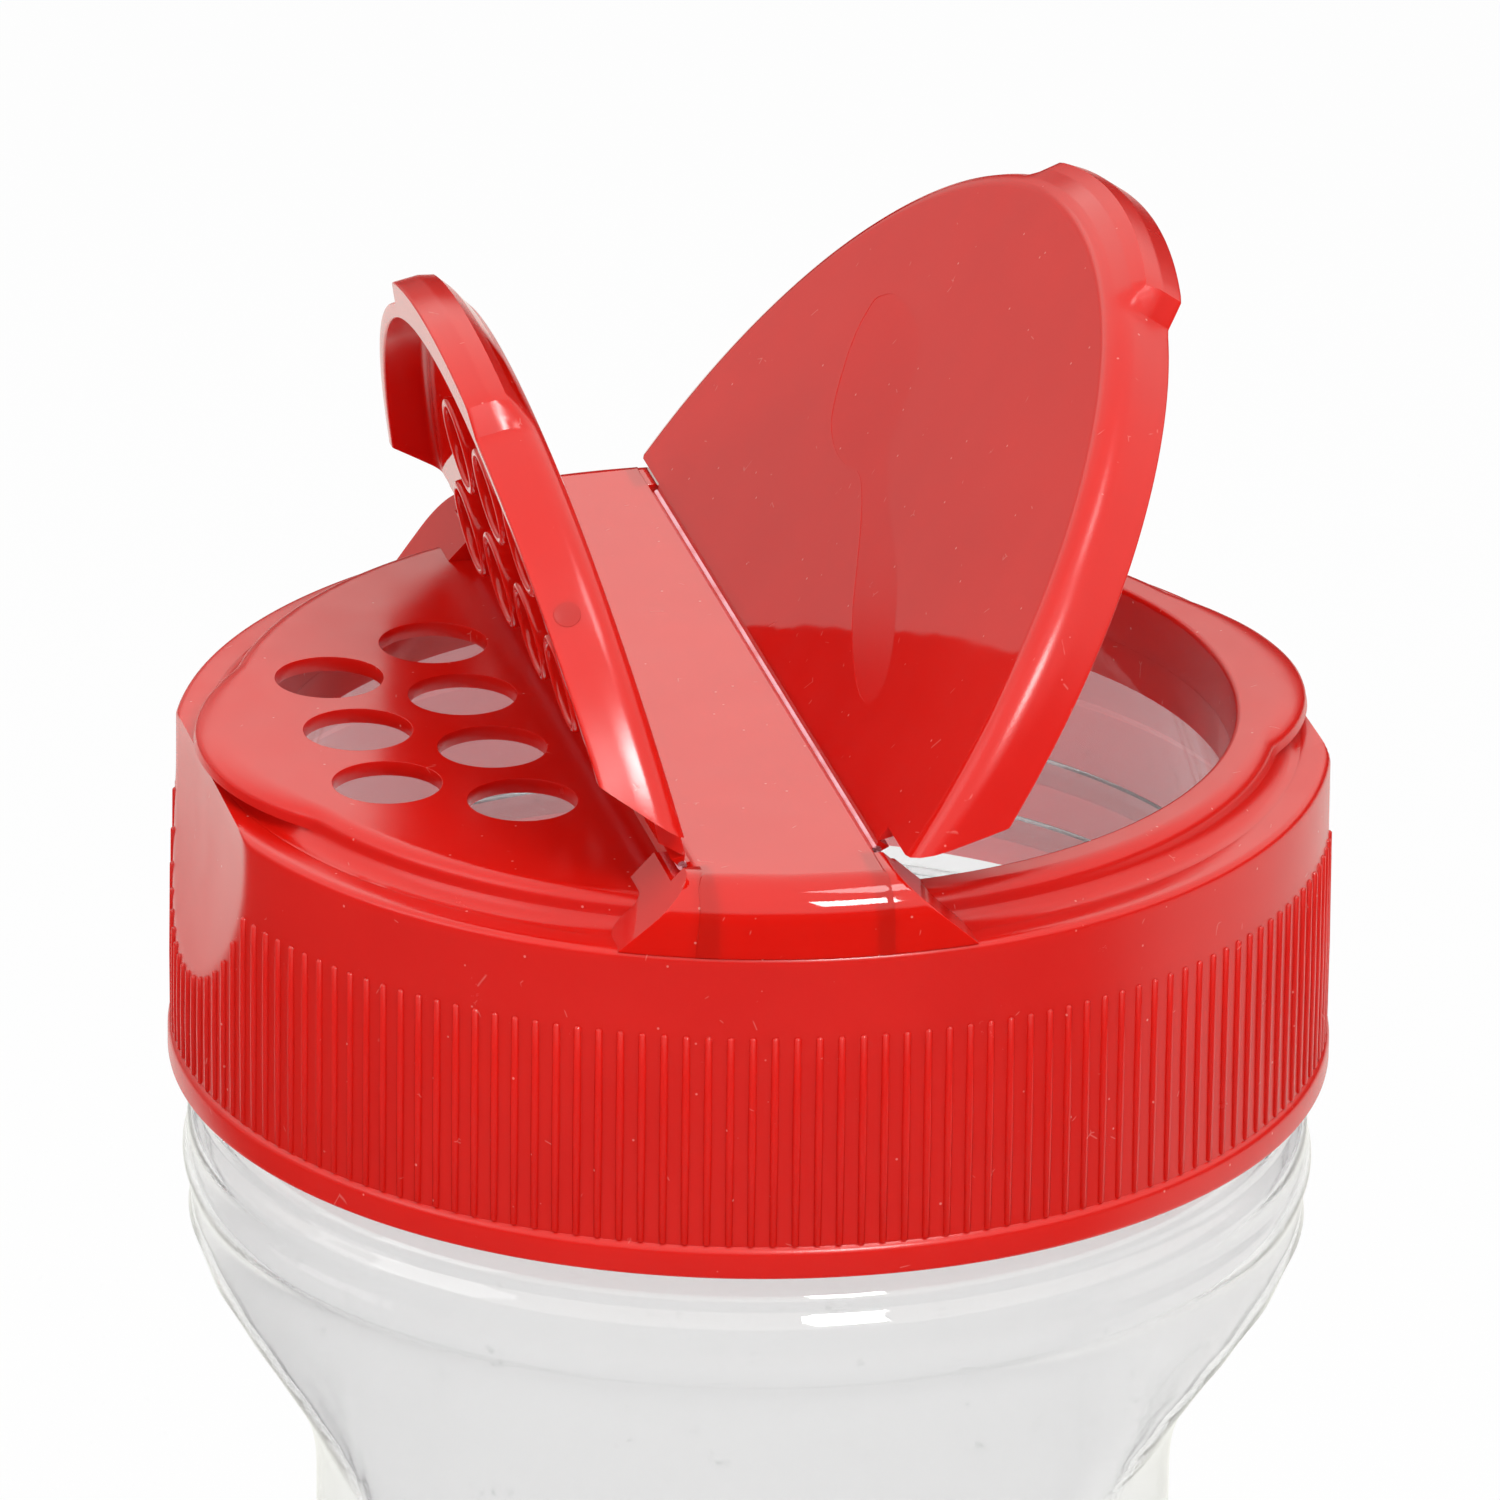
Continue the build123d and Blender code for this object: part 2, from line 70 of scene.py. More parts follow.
# ------------------------------------------------------------------ datum sizes
@dataclass(frozen=True)
class Datum:
    """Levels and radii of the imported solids, which the modelled pieces share."""

    edge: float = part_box("cap_skirt")[0].z  # the cap's bottom edge
    ledge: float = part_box("cap_skirt")[1].z
    deck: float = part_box("sift_deck")[1].z
    rim_foot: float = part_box("sift_deck")[0].z
    top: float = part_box("bridge")[1].z  # the bridge, and both flaps when closed
    lip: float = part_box("jar")[1].z
    band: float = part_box("cap_skirt")[1].x
    sift_edge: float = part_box("sift_deck")[1].x  # the bridge's two sides
    pour_edge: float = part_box("spoon_rim")[0].x
    wall: float = 33.7 * MM  # radius of the cap's smooth wall
    rim: float = 30.6 * MM
    neck: float = 30.3 * MM
    opening: float = 28.1 * MM


DATUM = Datum()


# ------------------------------------------------------------------ modelling helpers
def only_active(piece: Mesh) -> None:
    """Selects one object alone and makes it active."""
    bpy.ops.object.select_all(action="DESELECT")
    piece.select_set(True)
    bpy.context.view_layer.objects.active = piece


@contextmanager
def edit_mode(piece: Mesh) -> Iterator[None]:
    """Opens a piece in edit mode with all of it selected, and closes it again.

    Args:
        piece: The piece.

    Yields:
        Nothing, while the piece is open.
    """
    only_active(piece)
    bpy.ops.object.mode_set(mode="EDIT")
    bpy.ops.mesh.select_all(action="SELECT")
    yield
    bpy.ops.object.mode_set(mode="OBJECT")


def arc_line(centre: Point, reach: Point, start: float, end: float, steps: int) -> list[Point]:
    """Points along a round or an elliptic round of a profile.

    Args:
        centre: Its centre.
        reach: Its half widths across and upwards.
        start: Angle of the first point, in degrees.
        end: Angle of the last point.
        steps: Steps between them.

    Returns:
        The points.
    """
    turns = [radians(start + (end - start) * i / steps) for i in range(steps + 1)]
    return [(centre[0] + reach[0] * cos(a), centre[1] + reach[1] * sin(a)) for a in turns]


def flowing(points: Sequence[Point], rounds: int = 1) -> list[Point]:
    """Cuts the corners of a line so that it flows.

    Args:
        points: The line's corners.
        rounds: How often the corners are cut.

    Returns:
        The flowing line, with the same two ends.
    """
    line = list(points)
    for _ in range(rounds):
        cut = [
            (a[0] + (b[0] - a[0]) * share, a[1] + (b[1] - a[1]) * share)
            for a, b in zip(line, line[1:])
            for share in (0.25, 0.75)
        ]
        line = [line[0], *cut[1:-1], line[-1]]
    return line


def draw_profile(
    name: str, points: Sequence[Point], rounds: Optional[dict[int, float]] = None, closed: bool = True
) -> Mesh:
    """Draws a profile of edges in the XZ plane, one extruded vertex after another.

    Args:
        name: The new object's name.
        points: Radius and height of each corner.
        rounds: The rounded corners, by their index, with the cut of each.
        closed: Whether the last corner joins the first.

    Returns:
        The object, left in edit mode with all of it selected.
    """
    bpy.ops.object.select_all(action="DESELECT")
    bpy.ops.mesh.primitive_plane_add(size=MM)
    piece = bpy.context.object
    piece.name = name
    bpy.ops.object.mode_set(mode="EDIT")
    bpy.ops.mesh.select_mode(type="VERT")
    bpy.ops.mesh.select_all(action="SELECT")
    bpy.ops.mesh.merge(type="CENTER")
    here = Vector((points[0][0], 0, points[0][1]))
    bpy.ops.transform.translate(value=here)
    for x, z in points[1:]:
        there = Vector((x, 0, z))
        bpy.ops.mesh.extrude_region_move(TRANSFORM_OT_translate={"value": there - here})
        here = there
    if closed:
        select_where(piece, lambda vertex: len(vertex.link_edges) < 2)
        bpy.ops.mesh.edge_face_add()
    for index, cut in (rounds or {}).items():
        round_corner(piece, points[index], cut)
    bpy.ops.mesh.select_all(action="SELECT")
    return piece


def select_where(piece: Mesh, wanted: Callable[[bmesh.types.BMVert], bool]) -> None:
    """Selects the vertices that a test picks, in edit mode.

    Args:
        piece: The object in edit mode.
        wanted: The test for a vertex.
    """
    bpy.ops.mesh.select_mode(type="VERT")
    bpy.ops.mesh.select_all(action="DESELECT")
    shape = bmesh.from_edit_mesh(piece.data)
    for vertex in shape.verts:
        vertex.select = wanted(vertex)
    shape.select_flush(True)
    bmesh.update_edit_mesh(piece.data)


def round_corner(piece: Mesh, corner: Point, cut: float) -> None:
    """Rounds one corner of a drawn profile.

    Args:
        piece: The profile, in edit mode.
        corner: Where the corner stands.
        cut: How far from the corner the round starts.
    """
    spot = Vector((corner[0], 0, corner[1]))
    select_where(piece, lambda vertex: (vertex.co - spot).length < AT_SPOT)
    bpy.ops.mesh.bevel(offset=cut, offset_type="OFFSET", segments=4, affect="VERTICES")


def lathe(
    name: str,
    points: Sequence[Point],
    rounds: Optional[dict[int, float]] = None,
    steps: int = 192,
    closed: bool = False,
) -> Mesh:
    """A turned shell: a profile with rounded corners, spun round the upright axis.

    Args:
        name: The piece's name.
        points: Radius and height of each corner of the profile.
        rounds: The rounded corners, by their index, with the cut of each.
        steps: Steps in the turn.
        closed: Whether the profile closes on itself, off the axis.

    Returns:
        The piece in object mode.
    """
    piece = draw_profile(name, points, rounds, closed)
    bpy.ops.mesh.spin(steps=steps, angle=2 * pi, center=(0, 0, 0), axis=(0, 0, 1))
    bpy.ops.mesh.select_all(action="SELECT")
    bpy.ops.mesh.remove_doubles(threshold=WELD)
    bpy.ops.mesh.normals_make_consistent(inside=False)
    bpy.ops.object.mode_set(mode="OBJECT")
    return piece


def extrude_profile(
    name: str,
    points: Sequence[Point],
    start: float,
    end: float,
    rounds: Optional[dict[int, float]] = None,
) -> Mesh:
    """A bar: a closed profile in the XZ plane, drawn out along Y.

    Args:
        name: The bar's name.
        points: The profile's corners.
        start: Where it starts along Y.
        end: Where it ends.
        rounds: The rounded corners, by their index, with the cut of each.

    Returns:
        The bar in object mode.
    """
    bar = draw_profile(name, points, rounds)
    bpy.ops.mesh.edge_face_add()
    bpy.ops.transform.translate(value=(0, start, 0))
    bpy.ops.mesh.extrude_region_move(TRANSFORM_OT_translate={"value": (0, end - start, 0)})
    bpy.ops.mesh.select_all(action="SELECT")
    bpy.ops.mesh.normals_make_consistent(inside=False)
    bpy.ops.object.mode_set(mode="OBJECT")
    return bar


def turn_wall(
    name: str, outer: float, wall: float, ends: Point, foot_round: float, steps: int
) -> Mesh:
    """A turned upright wall that hangs from a flap's plate, with a rounded foot.

    Args:
        name: The wall's name.
        outer: Its outer radius.
        wall: Its thickness.
        ends: Its top and its foot.
        foot_round: The cut of the foot's two corners.
        steps: Steps in the turn.

    Returns:
        The piece in object mode.
    """
    (top, foot), inner = ends, outer - wall
    points = [(outer, top), (outer, foot), (inner, foot), (inner, top)]
    return lathe(name, points, {1: foot_round, 2: foot_round}, steps, closed=True)


def slice_away(piece: Mesh, at: Vector, normal: Vector) -> None:
    """Cuts a piece by a plane, drops what lies ahead of it and closes the cut.

    Args:
        piece: The piece.
        at: A point of the plane.
        normal: The direction of what goes.
    """
    with edit_mode(piece):
        bpy.ops.mesh.bisect(plane_co=at, plane_no=normal, use_fill=True, clear_outer=True)


def apply_modifier(piece: Mesh, kind: str, **settings) -> None:
    """Adds a modifier, sets it and applies it.

    Args:
        piece: The piece.
        kind: Blender's name for the kind of modifier.
        **settings: Its settings.
    """
    only_active(piece)
    modifier = piece.modifiers.new(kind.title(), kind)
    for key, value in settings.items():
        setattr(modifier, key, value)
    bpy.ops.object.modifier_apply(modifier=modifier.name)


def combine(piece: Mesh, tool: Mesh, operation: str) -> None:
    """Joins a tool body to a piece, or cuts with it, and removes the tool.

    Args:
        piece: The piece that stays.
        tool: The body that is used up.
        operation: UNION, DIFFERENCE or INTERSECT.
    """
    apply_modifier(piece, "BOOLEAN", object=tool, operation=operation, solver="EXACT")
    bpy.data.objects.remove(tool)


def join_pieces(name: str, parts: Sequence[Mesh]) -> Mesh:
    """Joins several meshes into one object.

    Args:
        name: The joined object's name.
        parts: The meshes, which are used up.

    Returns:
        The joined object.
    """
    bpy.ops.object.select_all(action="DESELECT")
    for part in parts:
        part.select_set(True)
    bpy.context.view_layer.objects.active = parts[0]
    bpy.ops.object.join()
    parts[0].name = name
    return parts[0]


def copy_piece(piece: Mesh, name: str, place: Matrix) -> Mesh:
    """Copies a piece, with a mesh of its own.

    Args:
        piece: What is copied.
        name: The copy's name.
        place: Where the copy goes, from where the first stands.

    Returns:
        The copy.
    """
    double = bpy.data.objects.new(name, piece.data.copy())
    bpy.context.collection.objects.link(double)
    double.data.transform(place)
    return double


def merge_flats(piece: Mesh) -> None:
    """Merges a piece's doubles, and the faces that lie in one plane."""
    with edit_mode(piece):
        bpy.ops.mesh.remove_doubles(threshold=FLAT_WELD)
        bpy.ops.mesh.dissolve_limited(angle_limit=radians(0.3))


def soften(piece: Mesh, width: float, angle: float = 40, segments: int = 2) -> None:
    """Rounds the edges of a piece that are sharper than an angle.

    Args:
        piece: The piece.
        width: Width of the round.
        angle: Edges sharper than this are rounded, in degrees.
        segments: Steps in the round.
    """
    apply_modifier(
        piece,
        "BEVEL",
        width=width,
        segments=segments,
        limit_method="ANGLE",
        angle_limit=radians(angle),
        use_clamp_overlap=True,
    )


def shade(piece: Mesh, angle: float = 35, flats: bool = False) -> None:
    """Shades a piece smooth, apart from its sharp edges.

    Args:
        piece: The piece.
        angle: Edges sharper than this stay sharp, in degrees.
        flats: Whether its large flat faces keep an even shade up to their rounds.
    """
    only_active(piece)
    bpy.ops.object.shade_smooth_by_angle(angle=radians(angle))
    if flats:
        apply_modifier(piece, "WEIGHTED_NORMAL", mode="FACE_AREA", weight=60, keep_sharp=True)


def at_radius(spot: Vector, radius: float) -> Vector:
    """The point at another radius, with its direction and height kept."""
    old = hypot(spot.x, spot.y)
    return Vector((spot.x * radius / old, spot.y * radius / old, spot.z))


def move_vertices(piece: Mesh, place: Callable[[Vector], Vector]) -> None:
    """Moves every vertex of a piece.

    Args:
        piece: The piece.
        place: Gives a vertex's new place from its old one.
    """
    for vertex in piece.data.vertices:
        vertex.co = place(vertex.co.copy())
    piece.data.update()


def soft_min(a: float, b: float, blend: float) -> float:
    """The smaller of two values, with a rounded change from one to the other.

    Args:
        a: One value.
        b: The other.
        blend: Difference over which the change is rounded.

    Returns:
        The blended value.
    """
    share = max(blend - abs(a - b), 0.0) / blend
    return min(a, b) - share * share * blend / 4


def ramp(value: float, start: float, end: float) -> float:
    """Rises smoothly from 0 at start to 1 at end."""
    share = min(max((value - start) / (end - start), 0.0), 1.0)
    return share * share * (3 - 2 * share)


# ------------------------------------------------------------------ materials
def linear(colour: str, alpha: float = 1.0) -> tuple[float, float, float, float]:
    """Turns an sRGB hex colour into linear values.

    Args:
        colour: Six hex digits.
        alpha: The fourth value.

    Returns:
        Linear red, green and blue, and alpha.
    """
    parts = [int(colour[i : i + 2], 16) / 255 for i in (0, 2, 4)]
    low = [p / 12.92 if p <= 0.04045 else ((p + 0.055) / 1.055) ** 2.4 for p in parts]
    return (*low, alpha)


def add_node(
    material: Shaded,
    kind: str,
    settings: Optional[dict] = None,
    inputs: Optional[dict] = None,
    links: Optional[dict] = None,
) -> Node:
    """Adds one shader node.

    Args:
        material: The material or world it goes into.
        kind: The node's type, without ShaderNode.
        settings: Properties of the node.
        inputs: Constants, by socket name or number.
        links: Sockets that feed it, by the name or number of its own.

    Returns:
        The node.
    """
    tree = material.node_tree
    node = tree.nodes.new("ShaderNode" + kind)
    for key, value in (settings or {}).items():
        setattr(node, key, value)
    for key, value in (inputs or {}).items():
        node.inputs[key].default_value = value
    for key, socket in (links or {}).items():
        tree.links.new(socket, node.inputs[key])
    return node


def blank_material(name: str) -> bpy.types.Material:
    """A material with no nodes.

    Args:
        name: Its name.

    Returns:
        The material.
    """
    material = bpy.data.materials.new(name)
    material.use_nodes = True
    material.node_tree.nodes.clear()
    return material


def finish_material(material: bpy.types.Material, surface: Node) -> bpy.types.Material:
    """Gives a material its output.

    Args:
        material: The material.
        surface: The shader that feeds it.

    Returns:
        The material.
    """
    add_node(material, "OutputMaterial", links={"Surface": surface.outputs[0]})
    return material


@dataclass(frozen=True)
class MouldedPolypropylene:
    """Injection-moulded red polypropylene, a little translucent.

    Polished mould steel leaves it glossy, with a faint orange peel, and spark-eroded steel leaves
    a fine sandy grain that blurs every reflection. Handling adds dull scuffs, hairline scratches
    and specks of dust. Inside the cap, a painted glow stands in for light through the wall.
    """

    name: str
    roughness: float
    peel_depth: float  # of the orange peel
    grain_depth: float  # of the sandy grain
    scuffing: float  # roughness that handling adds
    colour: str = "DD1B11"
    deep_colour: str = "D1130B"
    dust_colour: str = "EE9A90"
    flow_size: float = 9 * MM  # width of the cloudy melt variation
    sink_size: float = 6 * MM  # width of the shallow sinks that make reflections wavy
    sink_depth: float = 0.03 * MM
    peel_size: float = 0.7 * MM
    grain_size: float = 0.14 * MM
    scuff_size: float = 5 * MM
    scratch_gap: float = 2.4 * MM
    scratch_depth: float = 0.004 * MM
    scratch_dust: float = 0.35  # how far a scratch is as pale as dust
    dust_gap: float = 1.7 * MM
    translucence: float = 0.3
    bleed: float = 1.5 * MM  # how far red light spreads inside
    glow: float = 0.0  # painted glow: emission that stands in for light coming through the wall from its other side
    painted_glow_colour: str = "E0989C"

    def dust(self, material: bpy.types.Material, place: Socket) -> Node:
        """Specks of dust: a small dot in each cell of an uneven grid.

        Args:
            material: The material.
            place: The object coordinates.

        Returns:
            The node that gives how far dust covers the skin.
        """
        cells = add_node(
            material,
            "TexVoronoi",
            inputs={"Scale": 1 / self.dust_gap, "Randomness": 1.0},
            links={"Vector": place},
        )
        return add_node(
            material,
            "MapRange",
            inputs={"From Min": 0.03, "From Max": 0.055, "To Min": 0.6, "To Max": 0.0},
            links={"Value": cells.outputs["Distance"]},
        )

    def scratches(self, material: bpy.types.Material, place: Socket) -> Node:
        """Hairline scratches: the thin edges of uneven cells, of which a cloud leaves a few.

        Args:
            material: The material.
            place: The object coordinates.

        Returns:
            The node whose output is 1 on a scratch.
        """
        edges = add_node(
            material,
            "TexVoronoi",
            {"feature": "DISTANCE_TO_EDGE"},
            {"Scale": 1 / self.scratch_gap, "Randomness": 1.0},
            {"Vector": place},
        )
        line = add_node(
            material,
            "MapRange",
            inputs={"From Min": 0.0, "From Max": 0.02, "To Min": 1.0, "To Max": 0.0},
            links={"Value": edges.outputs["Distance"]},
        )
        cloud = add_node(
            material,
            "TexNoise",
            inputs={"Scale": 2.0 / self.scratch_gap, "Detail": 1.0},
            links={"Vector": place},
        )
        broken = add_node(
            material,
            "MapRange",
            inputs={"From Min": 0.7, "From Max": 0.74, "To Min": 0.0, "To Max": 1.0},
            links={"Value": cloud.outputs["Fac"]},
        )
        return add_node(
            material,
            "Math",
            {"operation": "MULTIPLY"},
            links={0: line.outputs[0], 1: broken.outputs[0]},
        )

    def relief(self, material: bpy.types.Material, place: Socket, scratch: Node) -> Node:
        """The skin's relief: shallow sinks, orange peel, sandy grain and, on them, scratches.

        Args:
            material: The material.
            place: The object coordinates.
            scratch: The node of the scratches.

        Returns:
            The bump node.
        """
        layers = (
            (self.sink_size, self.sink_depth),
            (self.peel_size, self.peel_depth),
            (self.grain_size, self.grain_depth),
        )
        below = {}
        for size, depth in layers:
            noise = add_node(
                material, "TexNoise", inputs={"Scale": 1 / size, "Detail": 1.0}, links={"Vector": place}
            )
            layer = add_node(
                material,
                "Bump",
                inputs={"Strength": 1.0, "Distance": depth},
                links={"Height": noise.outputs["Fac"], **below},
            )
            below = {"Normal": layer.outputs[0]}
        return add_node(
            material,
            "Bump",
            {"invert": True},
            {"Strength": 0.5, "Distance": self.scratch_depth},
            {"Height": scratch.outputs[0], **below},
        )

    def build(self) -> bpy.types.Material:
        """Makes the material.

        Returns:
            The material, which Blender keeps by its name.
        """
        material = blank_material(self.name)
        place = add_node(material, "TexCoord").outputs["Object"]
        flow = add_node(
            material,
            "TexNoise",
            inputs={"Scale": 1 / self.flow_size, "Detail": 2.0},
            links={"Vector": place},
        )
        tint = add_node(
            material,
            "Mix",
            {"data_type": "RGBA"},
            {6: linear(self.colour), 7: linear(self.deep_colour)},
            {"Factor": flow.outputs["Fac"]},
        )
        scratch = self.scratches(material, place)
        worn = add_node(
            material, "Math", {"operation": "MULTIPLY"}, {1: self.scratch_dust}, {0: scratch.outputs[0]}
        )
        specks = add_node(
            material,
            "Math",
            {"operation": "MAXIMUM"},
            links={0: self.dust(material, place).outputs[0], 1: worn.outputs[0]},
        )
        dusty = add_node(
            material,
            "Mix",
            {"data_type": "RGBA"},
            {7: linear(self.dust_colour)},
            {"Factor": specks.outputs[0], 6: tint.outputs[2]},
        )
        scuffs = add_node(
            material,
            "TexNoise",
            inputs={"Scale": 1 / self.scuff_size, "Detail": 8.0, "Roughness": 0.7},
            links={"Vector": place},
        )
        sheen = add_node(
            material,
            "MapRange",
            inputs={
                "From Min": 0.4,
                "From Max": 0.75,
                "To Min": self.roughness,
                "To Max": self.roughness + self.scuffing,
            },
            links={"Value": scuffs.outputs["Fac"]},
        )
        bump = self.relief(material, place, scratch)
        shader = add_node(
            material,
            "BsdfPrincipled",
            inputs={
                "IOR": 1.49,
                "Subsurface Weight": self.translucence,
                "Subsurface Radius": (1.0, 0.12, 0.08),
                "Subsurface Scale": self.bleed,
                "Emission Color": linear(self.painted_glow_colour),
                "Emission Strength": self.glow,
            },
            links={
                "Base Color": dusty.outputs[2],
                "Roughness": sheen.outputs[0],
                "Normal": bump.outputs[0],
            },
        )
        return finish_material(material, shader)


@dataclass(frozen=True)
class WhitenedPolypropylene:
    """The same plastic where a living hinge has been bent: pale pink from stress whitening."""

    name: str = "stress_whitened_polypropylene"
    colour: str = "FAC4D0"
    fresh_colour: str = "E87C80"
    streak: float = 2.5 * MM  # length of a whitened stretch

    def build(self) -> bpy.types.Material:
        """Makes the material.

        Returns:
            The material, which Blender keeps by its name.
        """
        material = blank_material(self.name)
        place = add_node(material, "TexCoord").outputs["Object"]
        stress = add_node(
            material,
            "TexNoise",
            inputs={"Scale": 1 / self.streak, "Detail": 3.0},
            links={"Vector": place},
        )
        spread = add_node(
            material,
            "MapRange",
            inputs={"From Min": 0.3, "From Max": 0.55, "To Min": 0.2, "To Max": 1.0},
            links={"Value": stress.outputs["Fac"]},
        )
        tint = add_node(
            material,
            "Mix",
            {"data_type": "RGBA"},
            {6: linear(self.fresh_colour), 7: linear(self.colour)},
            {"Factor": spread.outputs[0]},
        )
        shader = add_node(
            material,
            "BsdfPrincipled",
            inputs={"IOR": 1.49, "Roughness": 0.3},
            links={"Base Color": tint.outputs[2]},
        )
        return finish_material(material, shader)


@dataclass(frozen=True)
class BlownPet:
    """Stretch-blown clear PET: thin, bright and almost colourless, with faint handling scuffs.

    The wall is so thin that it hardly bends the light, so the IOR is far under that of solid PET,
    and a coat gives its surface the gloss of PET. A little haze keeps what shows through it pale.
    """

    name: str = "blown_clear_pet"
    colour: str = "F5F5F5"
    scuffed_colour: str = "DADADA"
    ior: float = 1.22
    clearness: float = 0.93
    roughness: float = 0.02
    ripple_size: float = 16 * MM  # width of a wave in the blown wall
    ripple_depth: float = 0.04 * MM
    scuff_size: float = 2.2 * MM

    def build(self) -> bpy.types.Material:
        """Makes the material.

        Returns:
            The material, which Blender keeps by its name.
        """
        material = blank_material(self.name)
        place = add_node(material, "TexCoord").outputs["Object"]
        ripple = add_node(
            material,
            "TexNoise",
            inputs={"Scale": 1 / self.ripple_size, "Detail": 1.0},
            links={"Vector": place},
        )
        bump = add_node(
            material,
            "Bump",
            inputs={"Strength": 0.6, "Distance": self.ripple_depth},
            links={"Height": ripple.outputs["Fac"]},
        )
        scuffs = add_node(
            material,
            "TexNoise",
            inputs={"Scale": 1 / self.scuff_size, "Detail": 9.0, "Roughness": 0.75},
            links={"Vector": place},
        )
        haze = add_node(
            material,
            "MapRange",
            inputs={"From Min": 0.66, "From Max": 0.78, "To Min": self.roughness, "To Max": 0.25},
            links={"Value": scuffs.outputs["Fac"]},
        )
        grey = add_node(
            material,
            "MapRange",
            inputs={"From Min": 0.62, "From Max": 0.72, "To Min": 0.0, "To Max": 1.0},
            links={"Value": scuffs.outputs["Fac"]},
        )
        tint = add_node(
            material,
            "Mix",
            {"data_type": "RGBA"},
            {6: linear(self.colour), 7: linear(self.scuffed_colour)},
            {"Factor": grey.outputs[0]},
        )
        shader = add_node(
            material,
            "BsdfPrincipled",
            inputs={
                "IOR": self.ior,
                "Transmission Weight": self.clearness,
                "Coat Weight": 0.6,
                "Coat IOR": 1.57,
                "Coat Roughness": self.roughness,
            },
            links={
                "Base Color": tint.outputs[2],
                "Roughness": haze.outputs[0],
                "Normal": bump.outputs[0],
            },
        )
        return finish_material(material, shader)


class Finish(Enum):
    """The finishes of the shaker."""

    POLISHED = MouldedPolypropylene("polished_red_polypropylene", 0.03, 0.0012 * MM, 0.0, 0.06)
    SATIN = MouldedPolypropylene("satin_red_polypropylene", 0.18, 0.002 * MM, 0.0015 * MM, 0.08)
    GRAINED = MouldedPolypropylene("spark_eroded_red_polypropylene", 0.25, 0.002 * MM, 0.005 * MM, 0.03)
    # painted glow: an emission that stands in for light coming through the cap's wall
    LIT_THROUGH = MouldedPolypropylene(
        "painted_glow_red_polypropylene", 0.25, 0.002 * MM, 0.0, 0.0, glow=0.4
    )
    HINGE = WhitenedPolypropylene()
    JAR = BlownPet()

    @property
    def material(self) -> bpy.types.Material:
        """The finish's material, once it's made."""
        return bpy.data.materials[self.value.name]

    @property
    def slot(self) -> str:
        """The slot that the record has for this plastic."""
        return "clear_pet" if self is Finish.JAR else "red_polypropylene"


def dress(piece: Mesh, finish: Finish, body: str, replaces: Sequence[str] = ()) -> None:
    """Gives a finished piece its material and body.

    Args:
        piece: The piece.
        finish: Its finish.
        body: The CAD body that it rides on.
        replaces: The CAD nodes that it stands for.
    """
    piece.data.materials.clear()
    piece.data.materials.append(finish.material)
    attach(piece, body)
    finish.slot
    if replaces:
        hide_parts(*replaces)
    LOG.info("%s: %d faces on %s", piece.name, len(piece.data.polygons), body)


def finish_faces(piece: Mesh, finish: Finish, wanted: Callable[[Face], bool]) -> None:
    """Gives some faces of a dressed piece a second finish.

    Args:
        piece: The piece.
        finish: The second finish.
        wanted: The test for a face.
    """
    piece.data.materials.append(finish.material)
    for face in piece.data.polygons:
        if wanted(face):
            face.material_index = len(piece.data.materials) - 1


